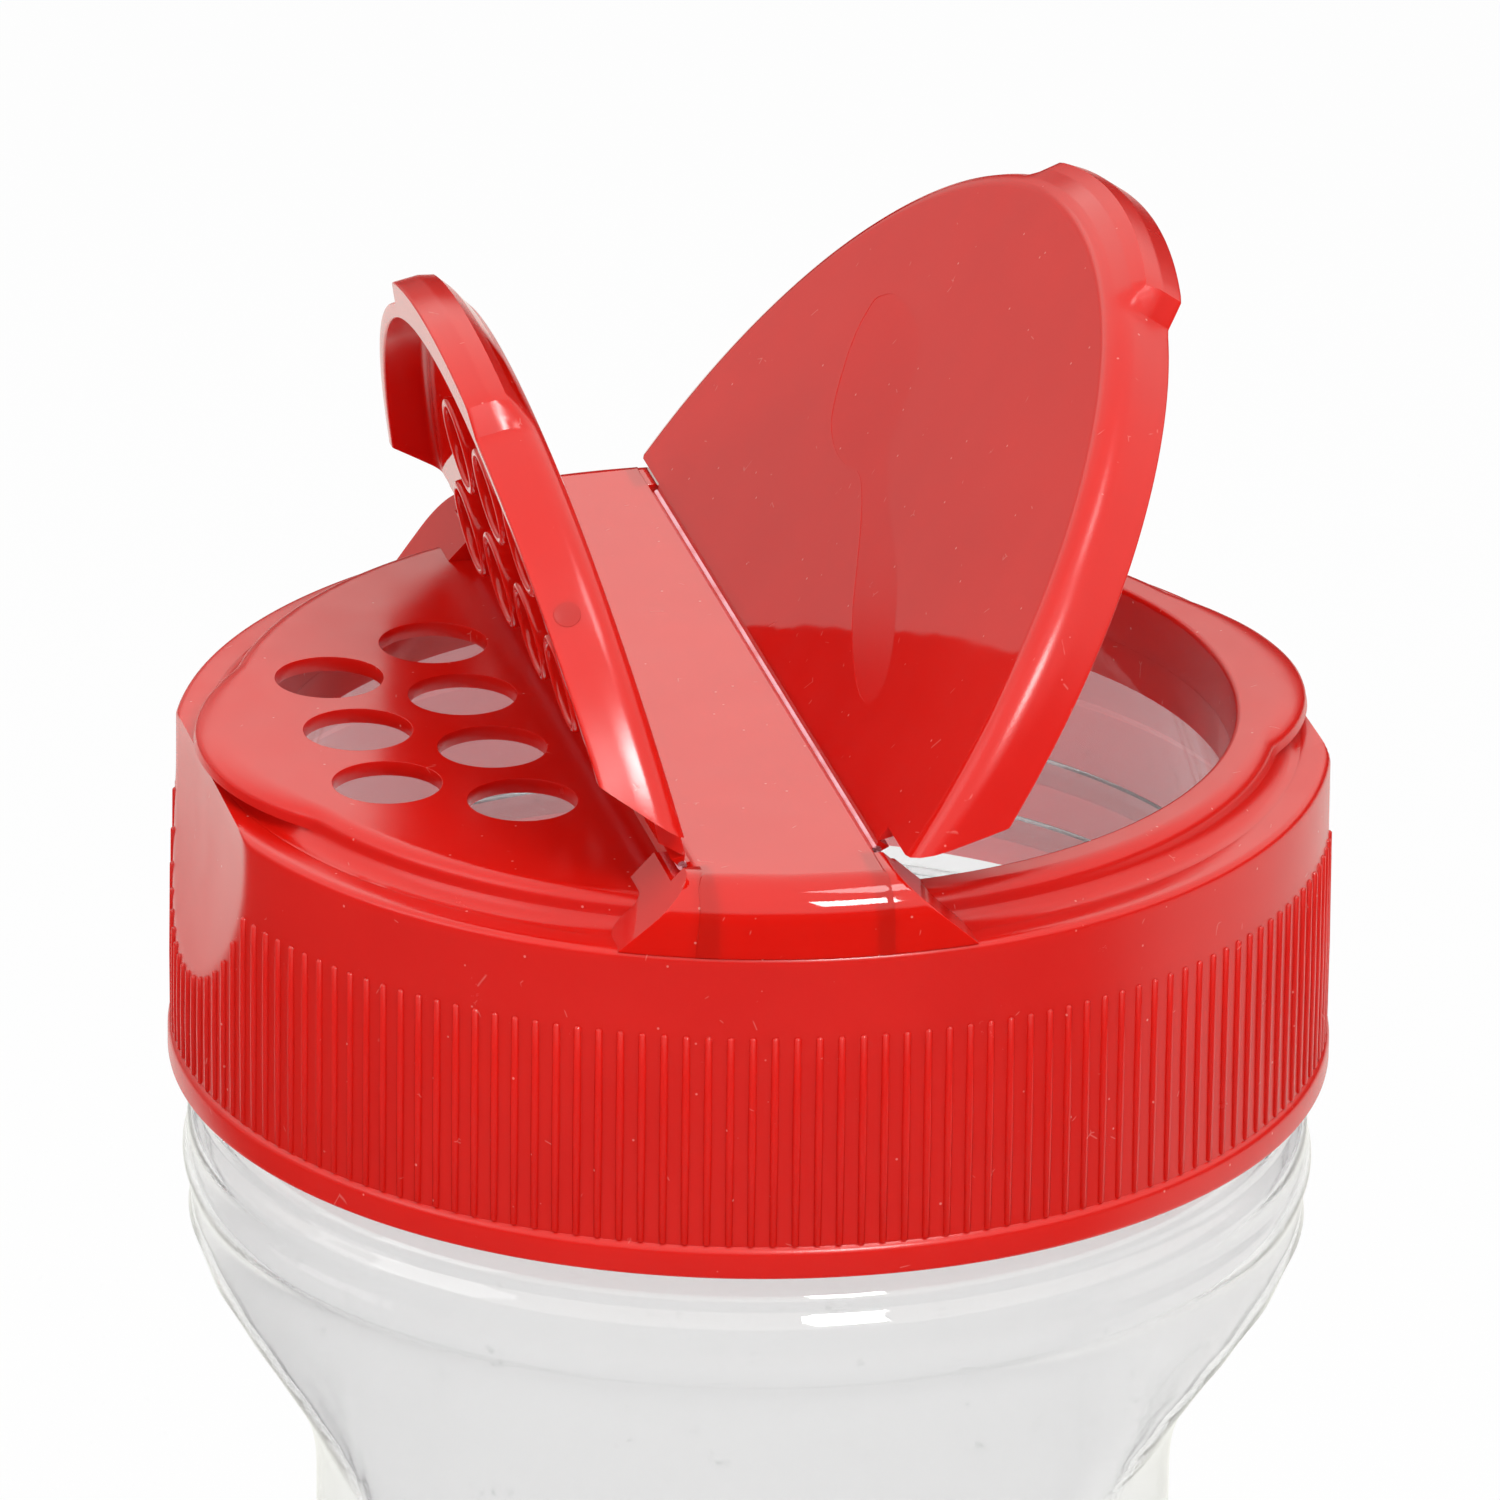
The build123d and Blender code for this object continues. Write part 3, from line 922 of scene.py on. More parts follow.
# ------------------------------------------------------------------ jar
@dataclass
class Jar:
    """The blown jar: a turned bottle whose sides are pinched into a grip, with its neck thread."""

    wall: float = 0.55 * MM
    body: float = 32.8 * MM
    base_corner: float = 5.0 * MM
    ring: float = 25.0 * MM  # inner edge of the standing ring
    ring_round: Point = (1.0 * MM, 0.35 * MM)  # from there inwards, and up
    push_up: float = 3.6 * MM
    raised: float = 16.0 * MM  # radius of the base's raised centre
    raised_round: Point = (2.0 * MM, 0.4 * MM)  # from there inwards, and up
    lip_bevel: Point = (0.25 * MM, 0.5 * MM)
    row: float = 1.6 * MM  # height of a row of faces down the body
    steps: int = 256
    # The shoulder's corners: radius, and height from the cap's edge, in millimetres. Upwards: the
    # ring step, the bulge, two faint beads and the run in to the neck.
    shoulder: Sequence[Point] = (
        *((32.8, -9.9), (32.62, -9.1), (32.52, -8.4), (32.62, -7.8)),
        *((32.95, -7.2), (33.15, -6.5), (33.1, -5.8), (32.84, -5.2)),
        *((32.8, -4.7), (32.88, -4.2), (32.78, -3.6), (32.42, -3.1)),
        *((32.2, -2.8), (32.18, -2.3), (31.98, -1.9), (31.6, -1.5)),
        *((31.1, -1.1), (30.6, -0.7), (30.35, -0.3), (30.3, 0.2)),
    )
    grip_angle: float = -15.0
    grip_half: float = 25.2 * MM
    grip_bow: float = 54.8 * MM
    grip_arc: float = 19.0 * MM
    grip_drop: float = 26.0 * MM
    grip_straight: float = 7.5 * MM
    grip_flank: float = 150.0 * MM
    flank_reach: float = 75.0 * MM  # how far down the flank's round is followed
    crease: float = 1.6 * MM  # blend that rounds the creases
    seam_angle: float = 35.0  # parting line, and opposite it
    seam_proud: float = 0.07 * MM
    seam_half: float = 0.35 * MM
    seam_start: float = 22.68 * MM  # radius on the base from which it stands proud
    seam_end: float = 1.0 * MM  # below the cap's edge
    thread_start: float = 2.6 * MM  # above the cap's edge
    thread_pitch: float = 4.23 * MM
    thread_turns: float = 1.25
    thread_steps: int = 180
    thread_proud: float = 0.75 * MM
    thread_sunk: float = 0.05 * MM
    thread_half: float = 0.9 * MM
    thread_crest: float = 0.315 * MM  # half width of its crest

    @property
    def scallop(self) -> float:
        """Height where the grip's upper scallop ends."""
        return DATUM.edge - self.grip_drop

    def profile(self) -> list[Point]:
        """Draws the outside, from the base's centre up to the lip.

        Returns:
            Radius and height of each point.
        """
        shoulder = [(r * MM, DATUM.edge + z * MM) for r, z in self.shoulder]
        low, high = self.base_corner, shoulder[0][1]
        rows = int((high - low) / self.row)
        return [
            (0.0, self.push_up),
            (self.raised - self.raised_round[0], self.push_up),
            (self.raised, self.push_up - self.raised_round[1]),
            (self.ring - self.ring_round[0], self.ring_round[1]),
            (self.ring, 0.0),
            *arc_line((self.body - low, low), (low, low), -90, 0, 6),
            *[(self.body, low + (high - low) * i / rows) for i in range(1, rows)],
            *flowing(shoulder),
            (DATUM.neck, DATUM.lip - self.lip_bevel[1]),
            (DATUM.neck - self.lip_bevel[0], DATUM.lip),
        ]

    def face_reach(self, z: float) -> float:
        """Follows a pinched face down the grip: upper scallop, waist and flank.

        Args:
            z: The height.

        Returns:
            How far the face stands there from the axis that it bows round.
        """
        flank = self.scallop - self.grip_straight
        if z > self.scallop:
            rise = min(z - self.scallop, self.grip_arc)
            return self.grip_bow + self.grip_arc - sqrt(self.grip_arc**2 - rise**2)
        if z < flank:
            drop = min(flank - z, self.flank_reach)
            return self.grip_bow + self.grip_flank - sqrt(self.grip_flank**2 - drop**2)
        return self.grip_bow

    def pinch(self, spot: Vector) -> Vector:
        """Presses a point of the turned bottle in, where the grip is.

        Args:
            spot: The point on the turned bottle.

        Returns:
            Its place on the pinched jar.
        """
        radius = hypot(spot.x, spot.y)
        if radius < self.ring or spot.z > self.scallop + self.grip_arc:
            return spot
        angle = atan2(spot.y, spot.x) - radians(self.grip_angle)
        shift = self.grip_bow - self.grip_half
        reach = self.face_reach(spot.z)
        pressed = radius
        for turn in (0.0, pi):
            across = shift * sin(angle + turn)
            face = sqrt(reach**2 - across**2) - shift * cos(angle + turn)
            pressed = soft_min(pressed, face, self.crease)
        return at_radius(spot, pressed)

    def add_seam(self, spot: Vector) -> Vector:
        """Raises the fine parting line of the blow mould, from base to shoulder.

        Args:
            spot: A point of the jar.

        Returns:
            Its place, raised where the line passes.
        """
        radius = hypot(spot.x, spot.y)
        if radius < self.seam_start or spot.z > DATUM.edge - self.seam_end:
            return spot
        away = sin(atan2(spot.y, spot.x) - radians(self.seam_angle)) * radius
        proud = self.seam_proud * max(0.0, 1 - abs(away) / self.seam_half)
        return spot + Vector((spot.x, spot.y, 0)) * (proud / radius)

    def build_shell(self) -> Mesh:
        """Turns the bottle, pinches it, raises its parting line and gives it a wall.

        Returns:
            The jar.
        """
        jar = lathe("clear_jar", self.profile(), steps=self.steps)
        move_vertices(jar, self.pinch)
        move_vertices(jar, self.add_seam)
        apply_modifier(jar, "SOLIDIFY", thickness=self.wall, offset=-1.0)
        shade(jar, 50)
        return jar

    def build_thread(self) -> Mesh:
        """Winds the neck's thread, a rounded ridge that climbs round it.

        Returns:
            The thread.
        """
        start = DATUM.edge + self.thread_start
        foot, crest = DATUM.neck - self.thread_sunk, DATUM.neck + self.thread_proud
        thread = draw_profile(
            "neck_thread",
            [
                (foot, start - self.thread_half),
                (crest, start - self.thread_crest),
                (crest, start + self.thread_crest),
                (foot, start + self.thread_half),
            ],
        )
        bpy.ops.object.mode_set(mode="OBJECT")
        apply_modifier(
            thread,
            "SCREW",
            angle=2 * pi * self.thread_turns,
            screw_offset=self.thread_pitch * self.thread_turns,
            steps=self.thread_steps,
            render_steps=self.thread_steps,
            axis="Z",
            use_normal_calculate=True,
        )
        with edit_mode(thread):
            bpy.ops.mesh.select_all(action="DESELECT")
            bpy.ops.mesh.select_mode(type="EDGE")
            bpy.ops.mesh.select_non_manifold(extend=False)
            bpy.ops.mesh.fill_holes(sides=4)
            bpy.ops.mesh.select_all(action="SELECT")
            bpy.ops.mesh.normals_make_consistent(inside=False)
        shade(thread, 50)
        return thread

    def build(self) -> None:
        """Models and dresses the jar."""
        dress(self.build_shell(), Finish.JAR, "jar", ["jar"])
        dress(self.build_thread(), Finish.JAR, "jar")


# ------------------------------------------------------------------ cap shell
@dataclass
class CapShell:
    """The screw cap's outer wall: a plain band, a ring of round ribs and two thumb scoops."""

    band_height: float = 1.7 * MM
    band_rounds: Point = (0.3 * MM, 0.25 * MM)  # at its foot and its top
    band_slope: float = 0.25 * MM  # height over which it runs in to the wall
    bore: float = 31.5 * MM
    bore_step: float = 12.5 * MM
    row: float = 0.3 * MM
    ledge_row: float = 0.4 * MM
    steps: int = 384
    edge_round: float = 0.45 * MM
    scoop_height: float = 18.2 * MM
    scoop_depth: float = 1.55 * MM
    scoop_drop: float = 10.2 * MM
    scoop_edge: float = 0.12 * MM  # blend along the scoop's boundary
    scoop_clear: float = 0.5 * MM  # from the band, which isn't pressed
    scoop_foot: float = 5.0 * MM  # lower than this there's no scoop
    bore_spare: float = 0.1 * MM  # room in the test for the bore's faces
    rib_count: int = 168
    rib_half: float = 0.26 * MM
    rib_proud: float = 0.22 * MM
    rib_foot: float = 1.95 * MM
    rib_top: float = 14.9 * MM
    rib_gap: float = 0.1 * MM  # rib's end to the scoop

    @property
    def scoop_round(self) -> float:
        """Radius of the scoop's hollow, seen from the side."""
        return self.scoop_drop**2 / (2 * self.scoop_depth)

    def scoop_face(self, z: float) -> float:
        """Distance of the scoop's hollow from the cap's middle plane, at a height over the edge."""
        across = min(abs(z - self.scoop_height), self.scoop_round)
        centre = DATUM.wall - self.scoop_depth + self.scoop_round
        return centre - sqrt(self.scoop_round**2 - across**2)

    def hollow(self, spot: Vector) -> Vector:
        """Presses a point of the outer wall in, where a thumb scoop is.

        Args:
            spot: A point of the turned shell.

        Returns:
            Its place, pressed in where a scoop is.
        """
        radius = hypot(spot.x, spot.y)
        height = spot.z - DATUM.edge
        inside = radius < self.bore + self.scoop_clear
        if inside or abs(spot.x) < 0.5 * radius or height < self.band_height + self.scoop_clear:
            return spot
        face = self.scoop_face(height) * radius / abs(spot.x)
        pressed = soft_min(radius, face, self.scoop_edge)
        return at_radius(spot, pressed)

    def build_wall(self) -> Mesh:
        """Turns the band, the wall, the ledge and the bore, and presses the scoops in.

        Returns:
            The shell.
        """
        edge, ledge, wall = DATUM.edge, DATUM.ledge, DATUM.wall
        low = edge + self.band_height + self.band_slope
        high = ledge - self.edge_round
        rows = int((high - low) / self.row)
        points = [
            (self.bore, edge),
            (DATUM.band, edge),
            (DATUM.band, edge + self.band_height),
            *[(wall, low + (high - low) * i / rows) for i in range(rows + 1)],
            *arc_line((wall - self.edge_round, high), (self.edge_round, self.edge_round), 18, 90, 4),
            *[(wall - self.edge_round - self.ledge_row * i, ledge) for i in range(1, 4)],
            (DATUM.rim, ledge),
            (DATUM.rim, edge + self.bore_step),
            (self.bore, edge + self.bore_step - (self.bore - DATUM.rim)),
        ]
        rounds = {1: self.band_rounds[0], 2: self.band_rounds[1]}
        shell = lathe("cap_shell", points, rounds, self.steps, closed=True)
        move_vertices(shell, self.hollow)
        shade(shell, 30)
        return shell

    def in_scoop(self, face: Face) -> bool:
        """Whether a face lies in a thumb scoop or on the ledge, which have less grain."""
        pressed = hypot(face.center.x, face.center.y) < DATUM.wall - self.scoop_edge / 2
        return pressed and face.center.z > DATUM.edge + self.scoop_foot

    def in_bore(self, face: Face) -> bool:
        """Whether a face lines the bore, which gets a painted glow for the light that comes through the
        wall.
        """
        near, low = self.bore + self.bore_spare, DATUM.ledge - self.bore_spare
        return hypot(face.center.x, face.center.y) < near and face.center.z < low

    def rib_end(self, angle: float) -> float:
        """Height where a rib ends: at the smooth wall, or lower at a scoop's boundary.

        Args:
            angle: The rib's direction, in radians.

        Returns:
            The height over the cap's edge.
        """
        across = DATUM.wall * abs(cos(angle))
        centre = DATUM.wall - self.scoop_depth + self.scoop_round
        if across < centre - self.scoop_round:
            return self.rib_top
        drop = sqrt(max(self.scoop_round**2 - (centre - across) ** 2, 0.0))
        return min(self.rib_top, self.scoop_height - drop - self.rib_gap)

    def build_ribs(self) -> Mesh:
        """Makes the grip's ribs: one round-ended bead, copied round the wall.

        Returns:
            The ribs, as one piece.
        """
        bpy.ops.object.select_all(action="DESELECT")
        bpy.ops.mesh.primitive_uv_sphere_add(segments=8, ring_count=6, radius=self.rib_half)
        bead = bpy.context.object
        bead.rotation_euler.z = pi / 8
        bpy.ops.object.transform_apply(rotation=True)
        centre = DATUM.wall + self.rib_proud - self.rib_half
        foot = DATUM.edge + self.rib_foot + self.rib_half
        ribs = []
        for index in range(self.rib_count):
            angle = 2 * pi * index / self.rib_count
            length = self.rib_end(angle) - self.rib_foot - 2 * self.rib_half
            rib = copy_piece(bead, f"rib_{index}", Matrix())
            for vertex in rib.data.vertices:
                if vertex.co.z > 0.01 * self.rib_half:
                    vertex.co.z += length
                elif vertex.co.z > -0.01 * self.rib_half:
                    vertex.co.z += length / 2
            rib.data.transform(Matrix.Rotation(angle, 4, "Z") @ Matrix.Translation((centre, 0, foot)))
            ribs.append(rib)
        bpy.data.objects.remove(bead)
        grip = join_pieces("grip_ribs", ribs)
        shade(grip, 80)
        return grip

    def build(self) -> None:
        """Models and dresses the cap's shell."""
        shell = self.build_wall()
        dress(shell, Finish.GRAINED, "cap", ["cap_skirt"])
        finish_faces(shell, Finish.SATIN, self.in_scoop)
        # the bore's faces get the painted glow, an emission for light that comes through the wall
        finish_faces(shell, Finish.LIT_THROUGH, self.in_bore)
        ribs = self.build_ribs()
        dress(ribs, Finish.GRAINED, "cap")
        finish_faces(ribs, Finish.POLISHED, lambda face: face.normal.z > 0.2)


# ------------------------------------------------------------------ deck and rims
class Side(Enum):
    """The two sides of the bridge: the direction along X in which each lies."""

    SIFT = -1
    SPOON = 1


@dataclass
class RaisedRim:
    """The raised rim round the spooning opening, with the crescent that its flap snaps over."""

    side: Side
    name: str
    node: str
    cut: float  # where the bridge's side stands
    crown: Point = (1.05 * MM, 0.8 * MM)  # the rim's round top edge, across and down
    fillet: Point = (1.3 * MM, 1.2 * MM)  # its hollow foot on the ledge
    fillet_break: float = 1.5  # degrees between the crescent's foot and the fillet's next point
    sunk: float = 0.2 * MM  # into the ledge
    seat: float = 0.05 * MM  # inside the rim's seat, below the ledge
    inner_round: float = 0.35 * MM
    snap_centre: float = 15.3 * MM
    snap_radius: float = 17.4 * MM
    snap_height: float = 1.2 * MM
    snap_root: float = 28.7 * MM  # radius from which the crescent is pushed out
    steps: int = 256

    def snap(self, spot: Vector) -> Vector:
        """Pushes a point of the rim's upper edge out along the snap crescent.

        Args:
            spot: A point of the turned half.

        Returns:
            Its place, with the crescent pushed out.
        """
        radius = hypot(spot.x, spot.y)
        if spot.x * self.side.value < 0.5 * radius or radius < self.snap_root:
            return spot
        if spot.z < DATUM.deck - self.snap_height - 0.001 * MM:
            return spot
        angle = atan2(spot.y, abs(spot.x))
        crest = self.snap_centre * cos(angle) + sqrt(
            self.snap_radius**2 - (self.snap_centre * sin(angle)) ** 2
        )
        share = min(1.0, (radius - self.snap_root) / (DATUM.rim - self.snap_root))
        return at_radius(spot, radius + max(0.0, crest - DATUM.rim) * share)

    def outside(self) -> list[Point]:
        """Draws the outer section: round top edge, hollow foot and what is sunk in the ledge.

        Returns:
            Radius and height of each point.
        """
        waist = DATUM.deck - self.crown[1]
        bend = (DATUM.rim + self.fillet[0], waist)
        turn = degrees(asin((self.snap_height - self.crown[1]) / self.fillet[1]))
        return [
            *arc_line((DATUM.rim - self.crown[0], waist), self.crown, 90, 0, 6),
            *arc_line(bend, self.fillet, 180, 180 + turn, 2)[1:],
            *arc_line(bend, self.fillet, 180 + turn + self.fillet_break, 270, 6),
            (bend[0], DATUM.ledge - self.sunk),
            (DATUM.rim - self.seat, DATUM.ledge - self.sunk),
            (DATUM.rim - self.seat, DATUM.rim_foot),
            (DATUM.opening, DATUM.rim_foot),
        ]

    def turn_round(self) -> Mesh:
        """Turns the rim as an open ring."""
        points = [*self.outside(), (DATUM.opening, DATUM.deck)]
        return lathe(self.name, points, {len(points) - 1: self.inner_round}, self.steps, closed=True)

    def build_half(self) -> Mesh:
        """Pushes the snap crescent out and cuts the half off at the bridge's side.

        Returns:
            The half.
        """
        half = self.turn_round()
        move_vertices(half, self.snap)
        slice_away(half, Vector((self.cut, 0, 0)), Vector((-self.side.value, 0, 0)))
        return half

    def build(self) -> None:
        """Models and dresses this half."""
        half = self.build_half()
        shade(half, 35, flats=True)
        dress(half, Finish.SATIN, "cap", [self.node])
        finish_faces(half, Finish.GRAINED, lambda face: face.normal.z < 0.9)


@dataclass
class SiftingDeck(RaisedRim):
    """The raised deck with its seven sifting holes, on the other side of the bridge."""

    thickness: float = 0.9 * MM
    hole_diameter: float = 6.35 * MM
    hole_pitch: float = 8.15 * MM
    hole_margin: float = 6.05 * MM  # from the bridge's side to the nearest holes' centres
    hole_round: float = 0.12 * MM
    drill_length: float = 8.0 * MM

    def hole_centres(self) -> list[Point]:
        """Sets out four holes beside the bridge and three beyond them, on a triangular grid.

        Returns:
            The centres of the seven holes.
        """
        first = self.cut - self.hole_margin
        return [
            (first - row * self.hole_pitch * sqrt(3) / 2, (i - (count - 1) / 2) * self.hole_pitch)
            for row, count in enumerate((4, 3))
            for i in range(count)
        ]

    def turn_round(self) -> Mesh:
        """Turns the deck with its rim."""
        shelf = DATUM.deck - self.thickness
        points = [(0.0, DATUM.deck), *self.outside(), (DATUM.opening, shelf), (0.0, shelf)]
        return lathe(self.name, points, steps=self.steps)

    def build_half(self) -> Mesh:
        """Makes the half as the other side's is, and drills its holes.

        Returns:
            The half.
        """
        half = super().build_half()
        drills = []
        for x, y in self.hole_centres():
            bpy.ops.object.select_all(action="DESELECT")
            bpy.ops.mesh.primitive_cylinder_add(
                vertices=64,
                radius=self.hole_diameter / 2,
                depth=self.drill_length,
                location=(x, y, DATUM.deck),
            )
            bpy.ops.object.transform_apply(location=True)
            drills.append(bpy.context.object)
        combine(half, join_pieces("drills", drills), "DIFFERENCE")
        merge_flats(half)
        soften(half, self.hole_round, angle=60)
        return half


# ------------------------------------------------------------------ bridge
@dataclass
class Bridge:
    """The bar between the openings, its end lugs, and the seal ring below."""

    draft: float = 0.5 * MM  # the sifting side leans out to its foot
    spoon_draft: float = 0.1 * MM
    long_rounds: Point = (0.6 * MM, 0.2 * MM)  # of the top's edges, on the sifting side and the other
    end_round: float = 2.4 * MM
    end_over: float = 0.01 * MM  # the ends' disc stands over the bar, so that the cut is clean
    seat: float = 0.6 * MM  # inside the wall, below the ledge
    seat_over: float = 0.1 * MM  # the seat's top, below the ledge
    edge_round: float = 0.16 * MM
    lug_shoulder: float = 0.4 * MM  # top of a lug's slope, beside the bar
    lug_root: float = 0.9 * MM  # how far a lug reaches into the bar
    lug_reach: float = 9.0 * MM  # farther out than any lug
    sift_flare: float = 4.4 * MM
    pour_flare: float = 5.0 * MM
    pour_slant: float = 4.9 * MM  # of the spooning flap's edge, a little less than its lug's
    sift_lug: float = 24.6 * MM  # inner ends of the lugs, along the bar
    pour_lug: float = 28.1 * MM
    lug_step: float = 28.9 * MM  # inside this a lug stays under the hinge
    lug_low: float = 0.8 * MM
    lug_seam: float = 0.03 * MM  # a lug lies this much inside the bar's surface
    sunk: float = 0.3 * MM  # into the ledge
    hollow_wall: float = 1.5 * MM

    def end_disc(self, inset: float = 0.0) -> Mesh:
        """The disc that the bar and the lugs end at, rounded over at the top.

        Args:
            inset: How far it stays inside the bar's own ends.

        Returns:
            The disc.
        """
        wall, bend, top = DATUM.wall - inset, self.end_round, DATUM.top - inset + self.end_over
        return lathe(
            "end_disc",
            [
                (0.0, DATUM.rim_foot - SPARE),
                (wall - self.seat, DATUM.rim_foot - SPARE),
                (wall - self.seat, DATUM.ledge - self.seat_over),
                (wall, DATUM.ledge - self.seat_over),
                *arc_line((wall - bend, top - bend), (bend, bend), 0, 90, 14),
                (0.0, top),
            ],
            steps=360,
        )

    def build_bar(self) -> Mesh:
        """Draws the bar out, rounds its ends over and hollows it from below.

        Returns:
            The bar.
        """
        left, right, top, foot = DATUM.sift_edge, DATUM.pour_edge, DATUM.top, DATUM.rim_foot
        end = DATUM.wall + SPARE
        bar = extrude_profile(
            "bridge_bar",
            [(left - self.draft, foot), (left, top), (right, top), (right + self.spoon_draft, foot)],
            -end,
            end,
            {1: self.long_rounds[0], 2: self.long_rounds[1]},
        )
        combine(bar, self.end_disc(), "INTERSECT")
        inner, deep = self.hollow_wall, foot - SPARE
        recess = extrude_profile(
            "recess",
            [
                (left + inner, deep),
                (left + inner, top - inner),
                (right - inner, top - inner),
                (right - inner, deep),
            ],
            inner - DATUM.opening,
            DATUM.opening - inner,
        )
        combine(bar, recess, "DIFFERENCE")
        return bar

    def build_lug(self, side: Side, end: int) -> Mesh:
        """A lug: it slopes from beside the bar's top down to the ledge, and stays under the hinge.

        Args:
            side: Its side of the bar.
            end: Its end of the bar, -1 or 1.

        Returns:
            The lug.
        """
        way, edge, flare, start = side.value, DATUM.sift_edge, self.sift_flare, self.sift_lug
        if side is Side.SPOON:
            edge, flare, start = DATUM.pour_edge, self.pour_flare, self.pour_lug
        foot, top = DATUM.ledge - self.sunk, DATUM.top
        slope = (flare - self.lug_shoulder) / (DATUM.top - DATUM.ledge)
        inner = edge - way * self.lug_root
        outline = [
            (inner, foot),
            (edge + way * (self.lug_shoulder + (top - foot) * slope), foot),
            (edge + way * self.lug_shoulder, top),
            (inner, top),
        ]
        lug = extrude_profile("lug", outline, end * start, end * (DATUM.wall + SPARE))
        combine(lug, self.end_disc(self.lug_seam), "INTERSECT")
        high, low = DATUM.top + SPARE, DATUM.top - self.lug_low
        near, far = inner - way * SPARE, edge + way * self.lug_reach
        room = [(near, low), (far, low), (far, high), (near, high)]
        combine(lug, extrude_profile("room", room, 0.0, end * self.lug_step), "DIFFERENCE")
        return lug

    def build_bridge(self) -> Mesh:
        """Makes the bar and its four lugs, with soft edges.

        Returns:
            The bridge, as one piece.
        """
        parts = [self.build_bar()]
        parts += [self.build_lug(side, end) for side in Side for end in (-1, 1)]
        for part in parts:
            merge_flats(part)
            soften(part, self.edge_round, angle=28, segments=3)
            shade(part, 30, flats=True)
        return join_pieces("bridge_bar", parts)

    def build(self) -> None:
        """Models and dresses the bridge, and finishes the seal ring."""
        dress(self.build_bridge(), Finish.POLISHED, "cap", ["bridge"])
        seal = frame["nodes"]["seal_ring"]
        seal.data.materials.clear()
        seal.data.materials.append(Finish.POLISHED.material)
        Finish.POLISHED.slot
        shade(seal, 35)


